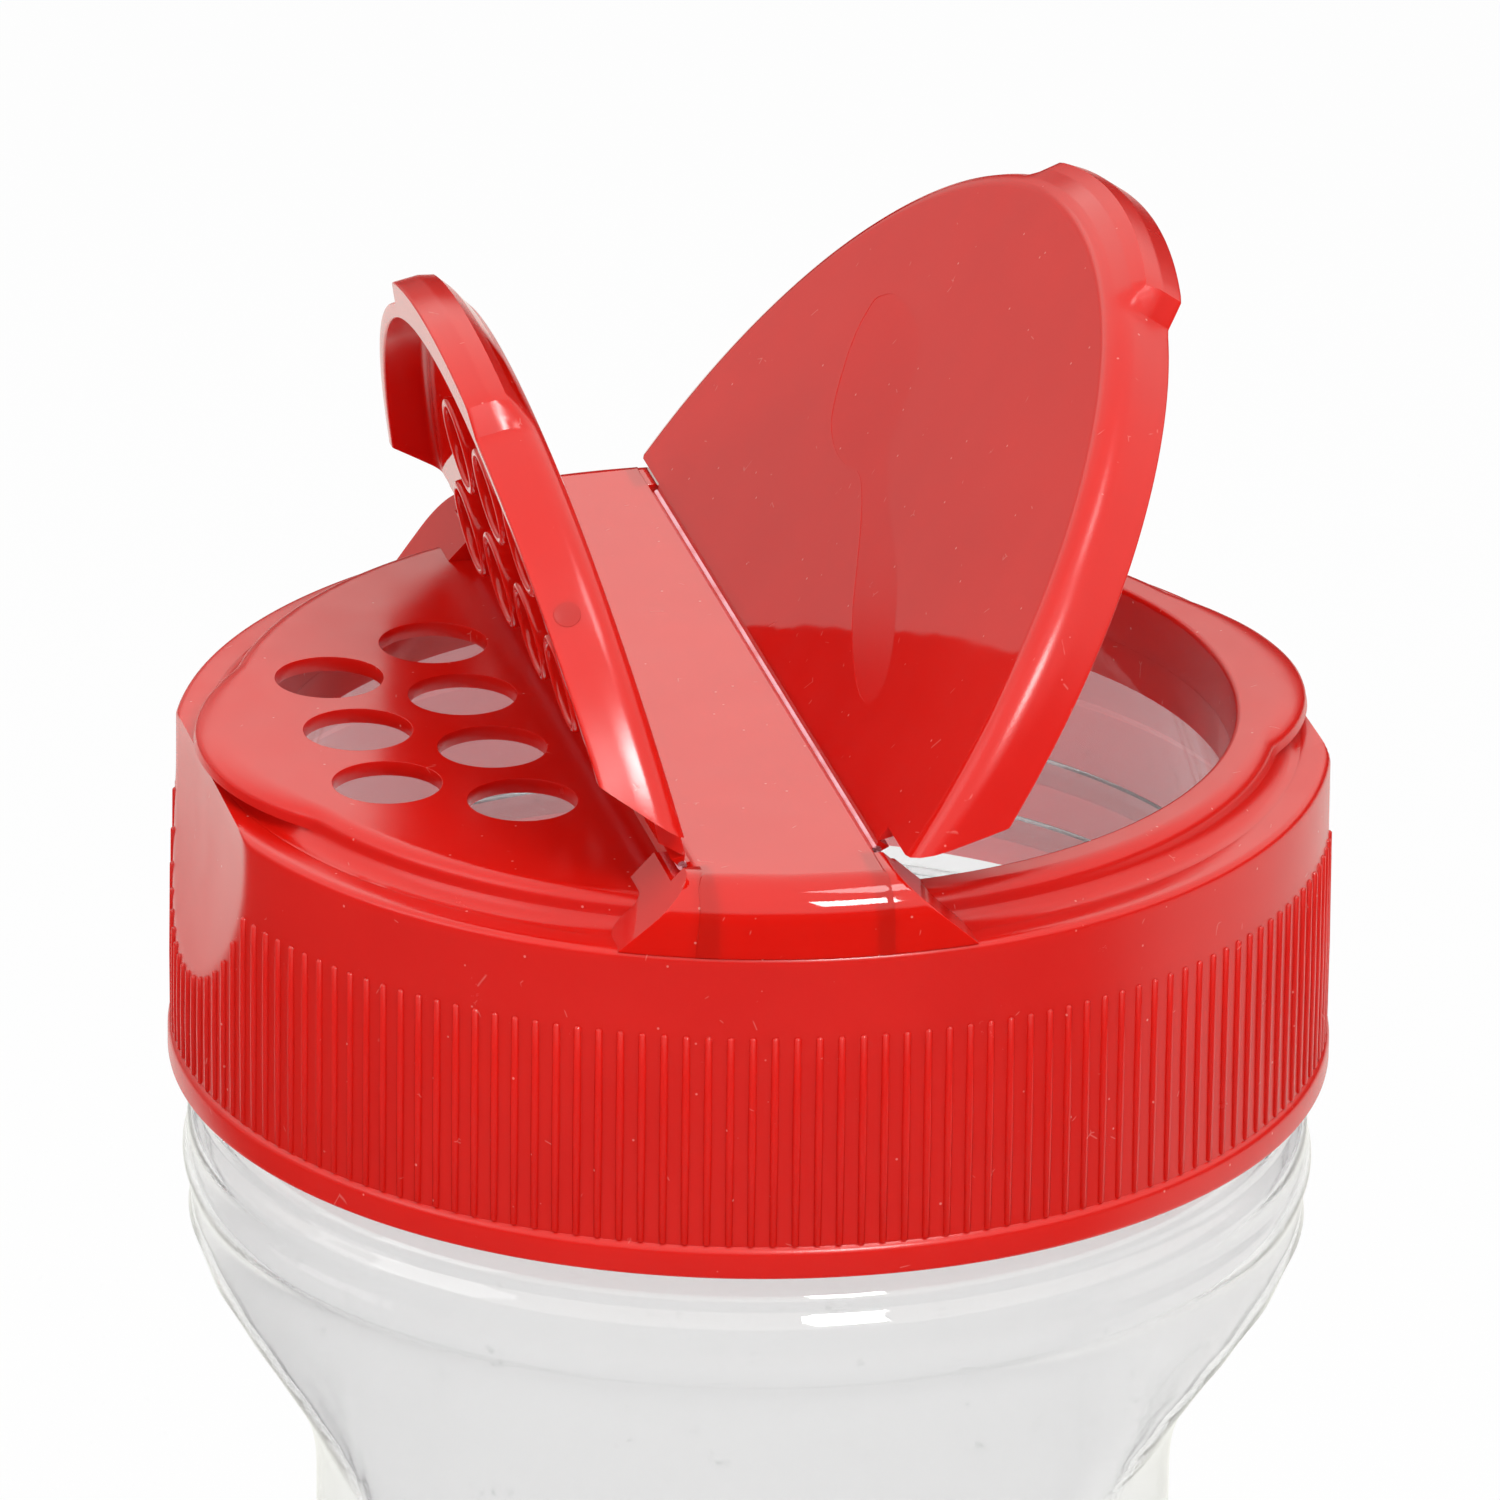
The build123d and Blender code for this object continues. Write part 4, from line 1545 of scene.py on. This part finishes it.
# ------------------------------------------------------------------ flaps
@dataclass
class Flap:
    """A hinged flap: a plate with a skirt and a thumb tab, modelled closed and swung open."""

    side: Side
    name: str
    node: str
    hinge_node: str
    lug_flare: float
    radius: float = 33.8 * MM
    thickness: float = 1.3 * MM
    wall: float = 0.9 * MM
    lift: float = 0.25 * MM
    edge_round: float = 1.5 * MM
    inner_round: float = 0.5 * MM
    foot_round: float = 0.12 * MM
    skirt_top: float = 2.1 * MM  # rows of faces start here, below the top face
    skirt_rows: int = 7
    hinge_lead: float = 0.5 * MM  # hinge axis to the plate's edge
    lug_gap: float = 0.4 * MM
    corner_back: float = 1.1 * MM  # the near corner, beyond the web, stands back further
    far_back: float = 0.15 * MM  # and the far one
    web_half: float = 28.0 * MM
    web_round: float = 0.29 * MM  # of the whitened line where it bends
    web_over: float = 0.12 * MM  # the web's top over the hinge axis
    web_under: float = 0.2 * MM
    web_lap: float = 0.05 * MM  # how far the web runs into the plate
    web_drop: float = 0.03 * MM  # there, below the plate's top face
    bar_lap: float = 0.45 * MM  # and the strip into the bar
    corner_reach: float = 3.0 * MM  # farther in than a corner of the flap
    corner_end: float = 40.0 * MM  # farther along than the flap
    tab_depth: float = 1.4 * MM
    tab_half: float = 18.0  # degrees
    tab_end: float = 2.6  # degrees over which the tab's ends slope
    tab_drop: float = 0.45 * MM
    tab_slope: float = 1.25 * MM
    root_lap: float = 0.05 * MM  # how far what hangs from the plate runs into it
    tab_root: float = 0.05 * MM  # outside the skirt's inner face, where the tab starts
    tab_skin: float = 0.2 * MM  # outer part of the skirt, which the tab is pushed out from
    steps: int = 360
    skirt_finish: Finish = Finish.GRAINED

    @property
    def joint(self) -> dict:
        """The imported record's entry for the flap's joint."""
        return next(joint for joint in frame["joints"] if joint["name"] == self.node + "_hinge")

    @property
    def hinge(self) -> Vector:
        """A point of the hinge's axis."""
        return Vector(self.joint["pos_m"])

    @property
    def opening(self) -> float:
        """How far the flap stands open, in degrees."""
        return -min(self.joint["range_deg"])

    def push_tab(self, spot: Vector) -> Vector:
        """Pushes a point of the skirt out along the thumb tab.

        Args:
            spot: A point of the turned shell.

        Returns:
            Its place, with the tab pushed out.
        """
        radius = hypot(spot.x, spot.y)
        if spot.x * self.side.value <= 0 or radius < self.radius - self.wall + self.tab_root:
            return spot
        if spot.z < DATUM.top - self.thickness and radius < self.radius - self.tab_skin:
            return spot
        angle = abs(degrees(atan2(spot.y, abs(spot.x))))
        along = 1 - ramp(angle, self.tab_half - self.tab_end / 2, self.tab_half + self.tab_end / 2)
        drop = DATUM.top - spot.z - self.tab_drop
        down = min(max(drop / self.tab_slope, 0.0), 1.0)
        return at_radius(spot, radius + self.tab_depth * along * down)

    @property
    def plate_root(self) -> float:
        """Height, just inside the closed plate, where what hangs from it starts."""
        return DATUM.top - self.thickness + self.root_lap

    @property
    def opened(self) -> Matrix:
        """From the closed flap's place to the open one."""
        turn = Matrix.Rotation(radians(-self.opening * self.side.value), 4, "Y")
        hinge = Matrix.Translation(self.hinge)
        return hinge @ turn @ hinge.inverted()

    def swing(self, piece: Mesh) -> None:
        """Turns a piece from the closed flap's place to the open one."""
        piece.data.transform(self.opened)

    def build_shell(self) -> Mesh:
        """Turns plate and skirt, pushes the tab out and cuts the hinge side slanting.

        Returns:
            The closed flap's shell.
        """
        face, foot = DATUM.top, DATUM.ledge + self.lift
        under = face - self.thickness
        inner = self.radius - self.wall
        start, rows = face - self.skirt_top, self.skirt_rows
        points = [
            (0.0, face),
            (self.radius, face),
            *[(self.radius, start + (foot - start) * i / rows) for i in range(1, rows)],
            (self.radius, foot),
            (inner, foot),
            (inner, under),
            (0.0, under),
        ]
        last = len(points) - 1
        rounds = {
            1: self.edge_round,
            last - 3: self.foot_round,
            last - 2: self.foot_round,
            last - 1: self.inner_round,
        }
        shell = lathe(self.name, points, rounds, self.steps)
        move_vertices(shell, self.push_tab)
        way = self.side.value
        slice_away(shell, self.hinge + Vector((way * self.hinge_lead, 0, 0)), Vector((-way, 0, 0)))
        slant = Vector((way * self.lug_flare, 0, DATUM.ledge - face))
        outward = Vector((way * slant.z, 0, -self.lug_flare)).normalized()
        slice_away(shell, Vector((self.hinge.x + way * self.lug_gap, 0, face)), outward)
        self.cut_corners(shell)
        return shell

    def cut_corners(self, shell: Mesh) -> None:
        """Sets the two corners beyond the web back, parallel to the lugs.

        Args:
            shell: The closed flap's shell.
        """
        way, high, low = self.side.value, DATUM.top + SPARE, DATUM.ledge - SPARE
        slope = self.lug_flare / (DATUM.top - DATUM.ledge)
        near = self.hinge.x - way * self.corner_reach
        for end, back in ((-1, self.corner_back), (1, self.far_back)):
            start = self.hinge.x + way * (self.lug_gap + back)
            high_edge = start - way * slope * SPARE
            low_edge = start + way * slope * (DATUM.top - low)
            outline = [(near, high), (high_edge, high), (low_edge, low), (near, low)]
            tool = extrude_profile("corner", outline, end * self.web_half, end * self.corner_end)
            combine(shell, tool, "DIFFERENCE")

    def add_details(self, shell: Mesh) -> Mesh:
        """Shapes what only this flap has, while it is closed.

        Args:
            shell: The closed flap's shell.

        Returns:
            The flap with its details.
        """
        return shell

    def build_web(self) -> None:
        """The living hinge: a strip along the bar, the bent line, and the wedge to the plate."""
        way, x, z, half, r = self.side.value, self.hinge.x, self.hinge.z, self.web_half, self.web_round
        high, low = (x, z + self.web_over), (x, z - self.web_under)
        bar, lead = x - way * self.bar_lap, x + way * (self.hinge_lead + self.web_lap)
        outline = [(bar, z + 2 * self.web_over), high, low, (bar, z - 2 * self.web_under)]
        strip = extrude_profile(self.hinge_node + "_strip", outline, -half, half)
        dress(strip, Finish.POLISHED, "cap")
        outline = arc_line((x, z), (r, r), 0, 330, 11)
        bend = extrude_profile(self.hinge_node + "_bend", outline, -half, half)
        shade(bend, 60)
        dress(bend, Finish.HINGE, "cap", [self.hinge_node])
        outline = [high, (lead, DATUM.top - self.web_drop), (lead, z - self.hinge_lead), low]
        web = extrude_profile(self.hinge_node + "_web", outline, -half, half)
        self.swing(web)
        dress(web, Finish.POLISHED, self.node)

    def build(self) -> Mesh:
        """Models and dresses the flap and its hinge.

        Returns:
            The flap, swung open.
        """
        flap = self.add_details(self.build_shell())
        self.swing(flap)
        shade(flap, 35, flats=True)
        dress(flap, Finish.POLISHED, self.node, [self.node])
        upright = self.opened.to_3x3().inverted()
        finish_faces(flap, self.skirt_finish, lambda face: abs((upright @ face.normal).z) < 0.85)
        self.build_web()
        return flap


@dataclass
class SiftFlap(Flap):
    """The sifting flap, with a ring plug for each hole and the mark of its gate."""

    plug_radius: float = 2.95 * MM
    plug_wall: float = 0.55 * MM
    plug_reach: float = 0.6 * MM  # below the deck's top when closed
    plug_round: float = 0.25 * MM
    gate_angle: float = -138.0
    gate_drop: float = 2.65 * MM  # below the top face
    gate_radius: float = 0.8 * MM
    gate_proud: float = 0.03 * MM
    gate_floor: float = 0.022 * MM
    gate_root: float = -0.05 * MM
    corner_back: float = 2.1 * MM
    skirt_finish: Finish = Finish.SATIN
    hole_centres: list[Point] = field(default_factory=list)

    def build_gate(self) -> Mesh:
        """Makes the gate's mark: a shallow ring with a sunk centre, on the skirt.

        Returns:
            The mark, in its place on the closed flap.
        """
        r, floor, proud, root = self.gate_radius, self.gate_floor, self.gate_proud, self.gate_root
        points = [(0.0, floor), (0.82 * r, floor), (0.88 * r, proud), (0.96 * r, proud)]
        mark = lathe("gate_mark", [*points, (r, root), (0.0, root)], steps=32)
        aside = Matrix.Translation((self.radius, 0, DATUM.top - self.gate_drop))
        place = Matrix.Rotation(radians(self.gate_angle), 4, "Z") @ aside
        mark.data.transform(place @ Matrix.Rotation(pi / 2, 4, "Y"))
        return mark

    def add_details(self, shell: Mesh) -> Mesh:
        """Adds the gate's mark."""
        return join_pieces(self.name, [shell, self.build_gate()])

    def build_plugs(self) -> Mesh:
        """Makes the ring plugs: one turned ring, copied to each hole.

        Returns:
            The plugs, as one piece.
        """
        ends = (self.plate_root, DATUM.deck - self.plug_reach)
        plug = turn_wall("plug", self.plug_radius, self.plug_wall, ends, self.plug_round, 48)
        rings = [
            copy_piece(plug, f"ring_{i}", Matrix.Translation((x, y, 0)))
            for i, (x, y) in enumerate(self.hole_centres)
        ]
        bpy.data.objects.remove(plug)
        return join_pieces("sift_plugs", rings)

    def build(self) -> Mesh:
        """Models and dresses the flap, its hinge and its plugs.

        Returns:
            The flap, swung open.
        """
        flap = super().build()
        plugs = self.build_plugs()
        self.swing(plugs)
        shade(plugs, 50)
        dress(plugs, Finish.POLISHED, self.node)
        return flap


@dataclass
class SpoonFlap(Flap):
    """The spooning flap, with a grained spoon mark sunk in its top face and a rib under it."""

    mark_depth: float = 0.02 * MM
    mark_centre: Point = (12.9 * MM, 3.0 * MM)  # from the hinge outwards, and along it
    mark_way: Point = (0.38, 0.925)  # towards the bowl
    # The mark's outline, from the handle's end to the bowl's: distance from its centre towards
    # the bowl, and half width, in millimetres.
    mark_outline: Sequence[Point] = (
        *((-20.8, 0.0), (-20.6, 0.7), (-18.6, 1.6), (-15.0, 2.05), (-11.5, 2.15)),
        *((-8.0, 1.75), (-4.5, 1.35), (-1.0, 1.2), (1.0, 1.45), (2.2, 2.3)),
        *((3.7, 3.2), (5.6, 3.9), (7.7, 4.2), (9.0, 4.1), (11.0, 3.5)),
        *((13.2, 2.5), (14.6, 1.6), (15.4, 0.5), (15.6, 0.0)),
    )
    rib_gap: float = 0.5 * MM
    rib_wall: float = 1.0 * MM
    rib_reach: float = 0.9 * MM  # below the deck's top when closed
    rib_round: float = 0.3 * MM

    def build_mark(self) -> Mesh:
        """Draws the spoon out as a body that cuts its mark into the top face.

        Returns:
            The cutting body.
        """
        side = flowing(self.mark_outline)
        outline = [*side, *[(s, -w) for s, w in reversed(side[1:-1])]]
        tool = extrude_profile("spoon_mark", [(s * MM, w * MM) for s, w in outline], 0.0, 2 * SPARE)
        (cu, cv), (du, dv) = self.mark_centre, self.mark_way
        face = DATUM.top - self.mark_depth

        def place(spot: Vector) -> Vector:
            """Lays a point of the drawn outline on the closed flap."""
            along, across = spot.x, spot.z
            outwards = self.hinge.x + cu + along * du - across * dv
            return Vector((outwards, cv + along * dv + across * du, face + spot.y))

        move_vertices(tool, place)
        with edit_mode(tool):
            bpy.ops.mesh.normals_make_consistent(inside=False)
        return tool

    def build_rib(self) -> Mesh:
        """Makes the D-shaped rib that enters the opening when the flap closes.

        Returns:
            The rib, in its place on the closed flap.
        """
        top, foot = self.plate_root, DATUM.deck - self.rib_reach
        outer = DATUM.opening - self.rib_gap
        rib = turn_wall("spoon_rib", outer, self.rib_wall, (top, foot), self.rib_round, 192)
        start = self.hinge.x + self.hinge_lead + self.rib_gap
        end = start + self.rib_wall
        slice_away(rib, Vector((start, 0, 0)), Vector((-1, 0, 0)))
        across = sqrt((outer - self.rib_wall) ** 2 - start**2) + self.rib_round
        outline = [(start, top), (start, foot), (end, foot), (end, top)]
        rounds = {1: self.rib_round, 2: self.rib_round}
        bar = extrude_profile("rib_bar", outline, -across, across, rounds)
        return join_pieces("spoon_rib", [rib, bar])

    def add_details(self, shell: Mesh) -> Mesh:
        """Sinks the spoon mark."""
        combine(shell, self.build_mark(), "DIFFERENCE")
        return shell

    def build(self) -> Mesh:
        """Models and dresses the flap, its hinge, its rib and the floor of its mark.

        Returns:
            The flap, swung open.
        """
        flap = super().build()
        closing = self.opened.inverted()
        floor, near = DATUM.top - self.mark_depth, 0.2 * self.mark_depth
        finish_faces(flap, Finish.GRAINED, lambda face: abs((closing @ face.center).z - floor) < near)
        rib = self.build_rib()
        self.swing(rib)
        shade(rib, 40)
        dress(rib, Finish.POLISHED, self.node)
        return flap


# ------------------------------------------------------------------ stage
@dataclass(frozen=True)
class SoftBox:
    """A square lamp that faces the cap: soft light, and a white patch in the gloss."""

    name: str
    side: float  # its direction to the right of the camera's, in degrees
    height: float  # its elevation, in degrees
    reach: float  # its distance from the cap
    size: float
    power: float  # in watts
    mirrored: bool = True  # whether reflections show it
    lights: bool = True  # whether it lights the surfaces themselves

    def build(self, turn: Matrix) -> None:
        """Hangs the lamp.

        Args:
            turn: From the camera's side to the shaker's frame.
        """
        data = bpy.data.lights.new(self.name, "AREA")
        data.shape = "SQUARE"
        data.size = self.size
        data.energy = self.power
        lamp = bpy.data.objects.new(self.name, data)
        bpy.context.collection.objects.link(lamp)
        a, e = radians(self.side), radians(self.height)
        away = turn @ Vector((sin(a) * cos(e), -cos(a) * cos(e), sin(e)))
        lamp.location = Vector((0, 0, DATUM.ledge)) + away * self.reach
        lamp.rotation_euler = (-away).to_track_quat("-Z", "Y").to_euler()
        lamp.visible_glossy = self.mirrored
        lamp.visible_diffuse = self.lights


@dataclass
class Stage:
    """The white floor and surround, the lamps and the camera."""

    azimuth: float = 13.34  # the shaker stands turned by this much
    elevation: float = 22.4
    distance: float = 1.0
    aim_side: float = -0.1 * MM
    aim_height: float = 18.579 * MM  # over the cap's bottom edge
    roll: float = 0.69
    focal: float = 17187.8  # in pixels of the square frame
    frame_side: int = 1500
    sensor: float = 36.0
    fill: float = 0.5  # the world as a light
    horizon: float = 0.54  # the world in reflections, from the horizon up
    sky: float = 1.45
    lit_wall: float = -45.0  # where it's bright at the horizon: left of straight back
    warm: str = "FFFFF8"
    lit_side: float = 25.0  # where the floor is bright in reflections: right of straight back
    lit_floor: float = 0.95
    dim_floor: float = 0.03
    lit_reach: float = 0.9  # the floor is bright up to here
    floor_radius: float = 6.0
    floor_glow: float = 0.93  # how far the camera sees the floor as plain white, with no shadow
    lamps: Sequence[SoftBox] = (
        SoftBox("overhead", 52.0, 69.0, 1.1, 0.29, 1.9),
        SoftBox("front_box", 24.0, 40.0, 1.2, 0.28, 4.3, mirrored=False),
        SoftBox("front_glare", 23.0, 40.0, 1.19, 0.28, 7.0, lights=False),
        SoftBox("left_box", -69.0, 32.0, 1.15, 0.5, 1.0),
        SoftBox("left_fill", -86.0, 12.0, 1.1, 0.5, 1.2, mirrored=False),
        SoftBox("top_fill", -12.0, 64.0, 1.1, 0.5, 2.8, mirrored=False),
    )

    @property
    def turn(self) -> Matrix:
        """From the camera's side to the shaker's frame."""
        return Matrix.Rotation(radians(-self.azimuth), 4, "Z")

    def build_camera(self) -> None:
        """The camera, at the studio's viewing angle."""
        data = bpy.data.cameras.new("camera")
        data.sensor_width = self.sensor
        data.lens = self.focal * self.sensor / self.frame_side
        data.clip_start, data.clip_end = 0.05, 50
        camera = bpy.data.objects.new("camera", data)
        bpy.context.collection.objects.link(camera)
        e, spin = radians(self.elevation), radians(self.roll)
        back = Vector((0, -cos(e), sin(e)))
        right, up = Vector((1, 0, 0)), Vector((0, sin(e), cos(e)))
        tilted_right = right * cos(spin) + up * sin(spin)
        tilted_up = up * cos(spin) - right * sin(spin)
        pose = Matrix((tilted_right, tilted_up, back)).transposed().to_4x4()
        pose.translation = back * self.distance + Vector((self.aim_side, 0, self.aim_height))
        camera.matrix_world = Matrix.Translation((0, 0, DATUM.edge)) @ self.turn @ pose
        bpy.context.scene.camera = camera

    def direct(self, material: Shaded) -> Node:
        """1 for what the camera sees straight or through the jar, and 0 for the rest.

        Args:
            material: The material or the world.

        Returns:
            The node with that share.
        """
        path = add_node(material, "LightPath")
        return add_node(
            material,
            "Math",
            {"operation": "MAXIMUM"},
            links={0: path.outputs["Is Camera Ray"], 1: path.outputs["Is Transmission Ray"]},
        )

    def mirrored(self, material: Shaded) -> Node:
        """1 for what is seen by reflection only, and 0 for what is seen through the jar.

        Args:
            material: The material or the world.

        Returns:
            The node with that share.
        """
        path = add_node(material, "LightPath")
        return add_node(
            material,
            "Math",
            {"operation": "SUBTRACT", "use_clamp": True},
            links={0: path.outputs["Is Glossy Ray"], 1: path.outputs["Is Transmission Ray"]},
        )

    def floor_shine(self, material: bpy.types.Material) -> Node:
        """What reflections see of the floor: bright behind the shaker, dim in front of it.

        Args:
            material: The floor's material.

        Returns:
            The emission.
        """
        place = add_node(material, "TexCoord").outputs["Object"]
        way = add_node(material, "VectorMath", {"operation": "NORMALIZE"}, links={0: place})
        a = radians(self.lit_side)
        facing = add_node(
            material,
            "VectorMath",
            {"operation": "DOT_PRODUCT"},
            {1: self.turn @ Vector((sin(a), cos(a), 0))},
            {0: way.outputs[0]},
        )
        tone = add_node(
            material,
            "MapRange",
            {"interpolation_type": "SMOOTHSTEP"},
            {"From Min": 0.0, "From Max": 0.45, "To Min": self.dim_floor, "To Max": self.lit_floor},
            {"Value": facing.outputs["Value"]},
        )
        away = add_node(material, "VectorMath", {"operation": "LENGTH"}, links={0: place})
        near = add_node(
            material,
            "MapRange",
            inputs={
                "From Min": self.lit_reach,
                "From Max": 1.5 * self.lit_reach,
                "To Min": 1.0,
                "To Max": 0.0,
            },
            links={"Value": away.outputs["Value"]},
        )
        strength = add_node(
            material, "Math", {"operation": "MULTIPLY"}, links={0: tone.outputs[0], 1: near.outputs[0]}
        )
        return add_node(
            material,
            "Emission",
            inputs={"Color": linear(self.warm)},
            links={"Strength": strength.outputs[0]},
        )

    def build_floor(self) -> None:
        """A wide white floor that keeps a soft shadow."""
        bpy.ops.object.select_all(action="DESELECT")
        bpy.ops.mesh.primitive_circle_add(vertices=96, radius=self.floor_radius, fill_type="NGON")
        floor = bpy.context.object
        floor.name = "floor"
        material = blank_material("matt_white_sweep")
        seen = self.direct(material).outputs[0]
        share = add_node(material, "Math", {"operation": "MULTIPLY"}, {1: self.floor_glow}, {0: seen})
        paint = add_node(material, "BsdfDiffuse", inputs={"Color": linear("FFFFFF")})
        glow = add_node(material, "Emission", inputs={"Color": linear("FFFFFF"), "Strength": 1.0})
        plain = add_node(
            material,
            "MixShader",
            links={0: share.outputs[0], 1: paint.outputs[0], 2: glow.outputs[0]},
        )
        shine = self.floor_shine(material)
        surface = add_node(
            material,
            "MixShader",
            links={0: self.mirrored(material).outputs[0], 1: plain.outputs[0], 2: shine.outputs[0]},
        )
        floor.data.materials.append(finish_material(material, surface))

    def build_world(self) -> None:
        """An even white surround, softer as a light, and dark near the horizon in reflections."""
        world = bpy.data.worlds.new("studio")
        bpy.context.scene.world = world
        world.use_nodes = True
        world.node_tree.nodes.clear()
        plain = add_node(
            world,
            "MapRange",
            inputs={"To Min": self.fill, "To Max": 1.0},
            links={"Value": self.direct(world).outputs[0]},
        )
        direction = add_node(world, "TexCoord")
        height = add_node(world, "SeparateXYZ", links={0: direction.outputs["Generated"]})
        a = radians(self.lit_wall)
        facing = add_node(
            world,
            "VectorMath",
            {"operation": "DOT_PRODUCT"},
            {1: self.turn @ Vector((sin(a), cos(a), 0))},
            {0: direction.outputs["Generated"]},
        )
        wall = add_node(
            world,
            "MapRange",
            {"interpolation_type": "SMOOTHSTEP"},
            {"From Min": 0.72, "From Max": 0.92, "To Min": 0.06, "To Max": self.horizon},
            {"Value": facing.outputs["Value"]},
        )
        shine = add_node(
            world,
            "MapRange",
            {"interpolation_type": "SMOOTHSTEP"},
            {"From Min": 0.21, "From Max": 0.37, "To Max": self.sky},
            {"Value": height.outputs[2], "To Min": wall.outputs[0]},
        )
        mirrored = self.mirrored(world).outputs[0]
        strength = add_node(
            world,
            "Mix",
            {"data_type": "FLOAT"},
            links={0: mirrored, 2: plain.outputs[0], 3: shine.outputs[0]},
        )
        tint = add_node(
            world,
            "Mix",
            {"data_type": "RGBA"},
            {6: linear("FFFFFF"), 7: linear(self.warm)},
            {"Factor": mirrored},
        )
        light = add_node(
            world,
            "Background",
            links={"Color": tint.outputs[2], "Strength": strength.outputs[0]},
        )
        add_node(world, "OutputWorld", links={"Surface": light.outputs[0]})

    def build(self) -> None:
        """Sets the whole stage."""
        bpy.context.scene.view_settings.view_transform = "Standard"
        self.build_camera()
        self.build_floor()
        self.build_world()
        for lamp in self.lamps:
            lamp.build(self.turn)


def main() -> None:
    """Builds the stage and every piece, logging the face count of each dressed piece."""
    logging.basicConfig(level=logging.INFO, format="%(message)s")
    bpy.ops.object.select_all(action="DESELECT")
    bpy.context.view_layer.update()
    Stage().build()
    for finish in Finish:
        finish.value.build()
    Jar().build()
    CapShell().build()
    deck = SiftingDeck(Side.SIFT, "sifting_deck", "sift_deck", DATUM.sift_edge)
    deck.build()
    RaisedRim(Side.SPOON, "spooning_rim", "spoon_rim", DATUM.pour_edge).build()
    bridge = Bridge()
    bridge.build()
    SiftFlap(
        Side.SIFT,
        "sifting_flap",
        "sift_flap",
        "sift_hinge",
        lug_flare=bridge.sift_flare,
        hole_centres=deck.hole_centres(),
    ).build()
    SpoonFlap(
        Side.SPOON, "spooning_flap", "spoon_flap", "spoon_hinge", lug_flare=bridge.pour_slant
    ).build()


if __name__ == "__main__":
    main()
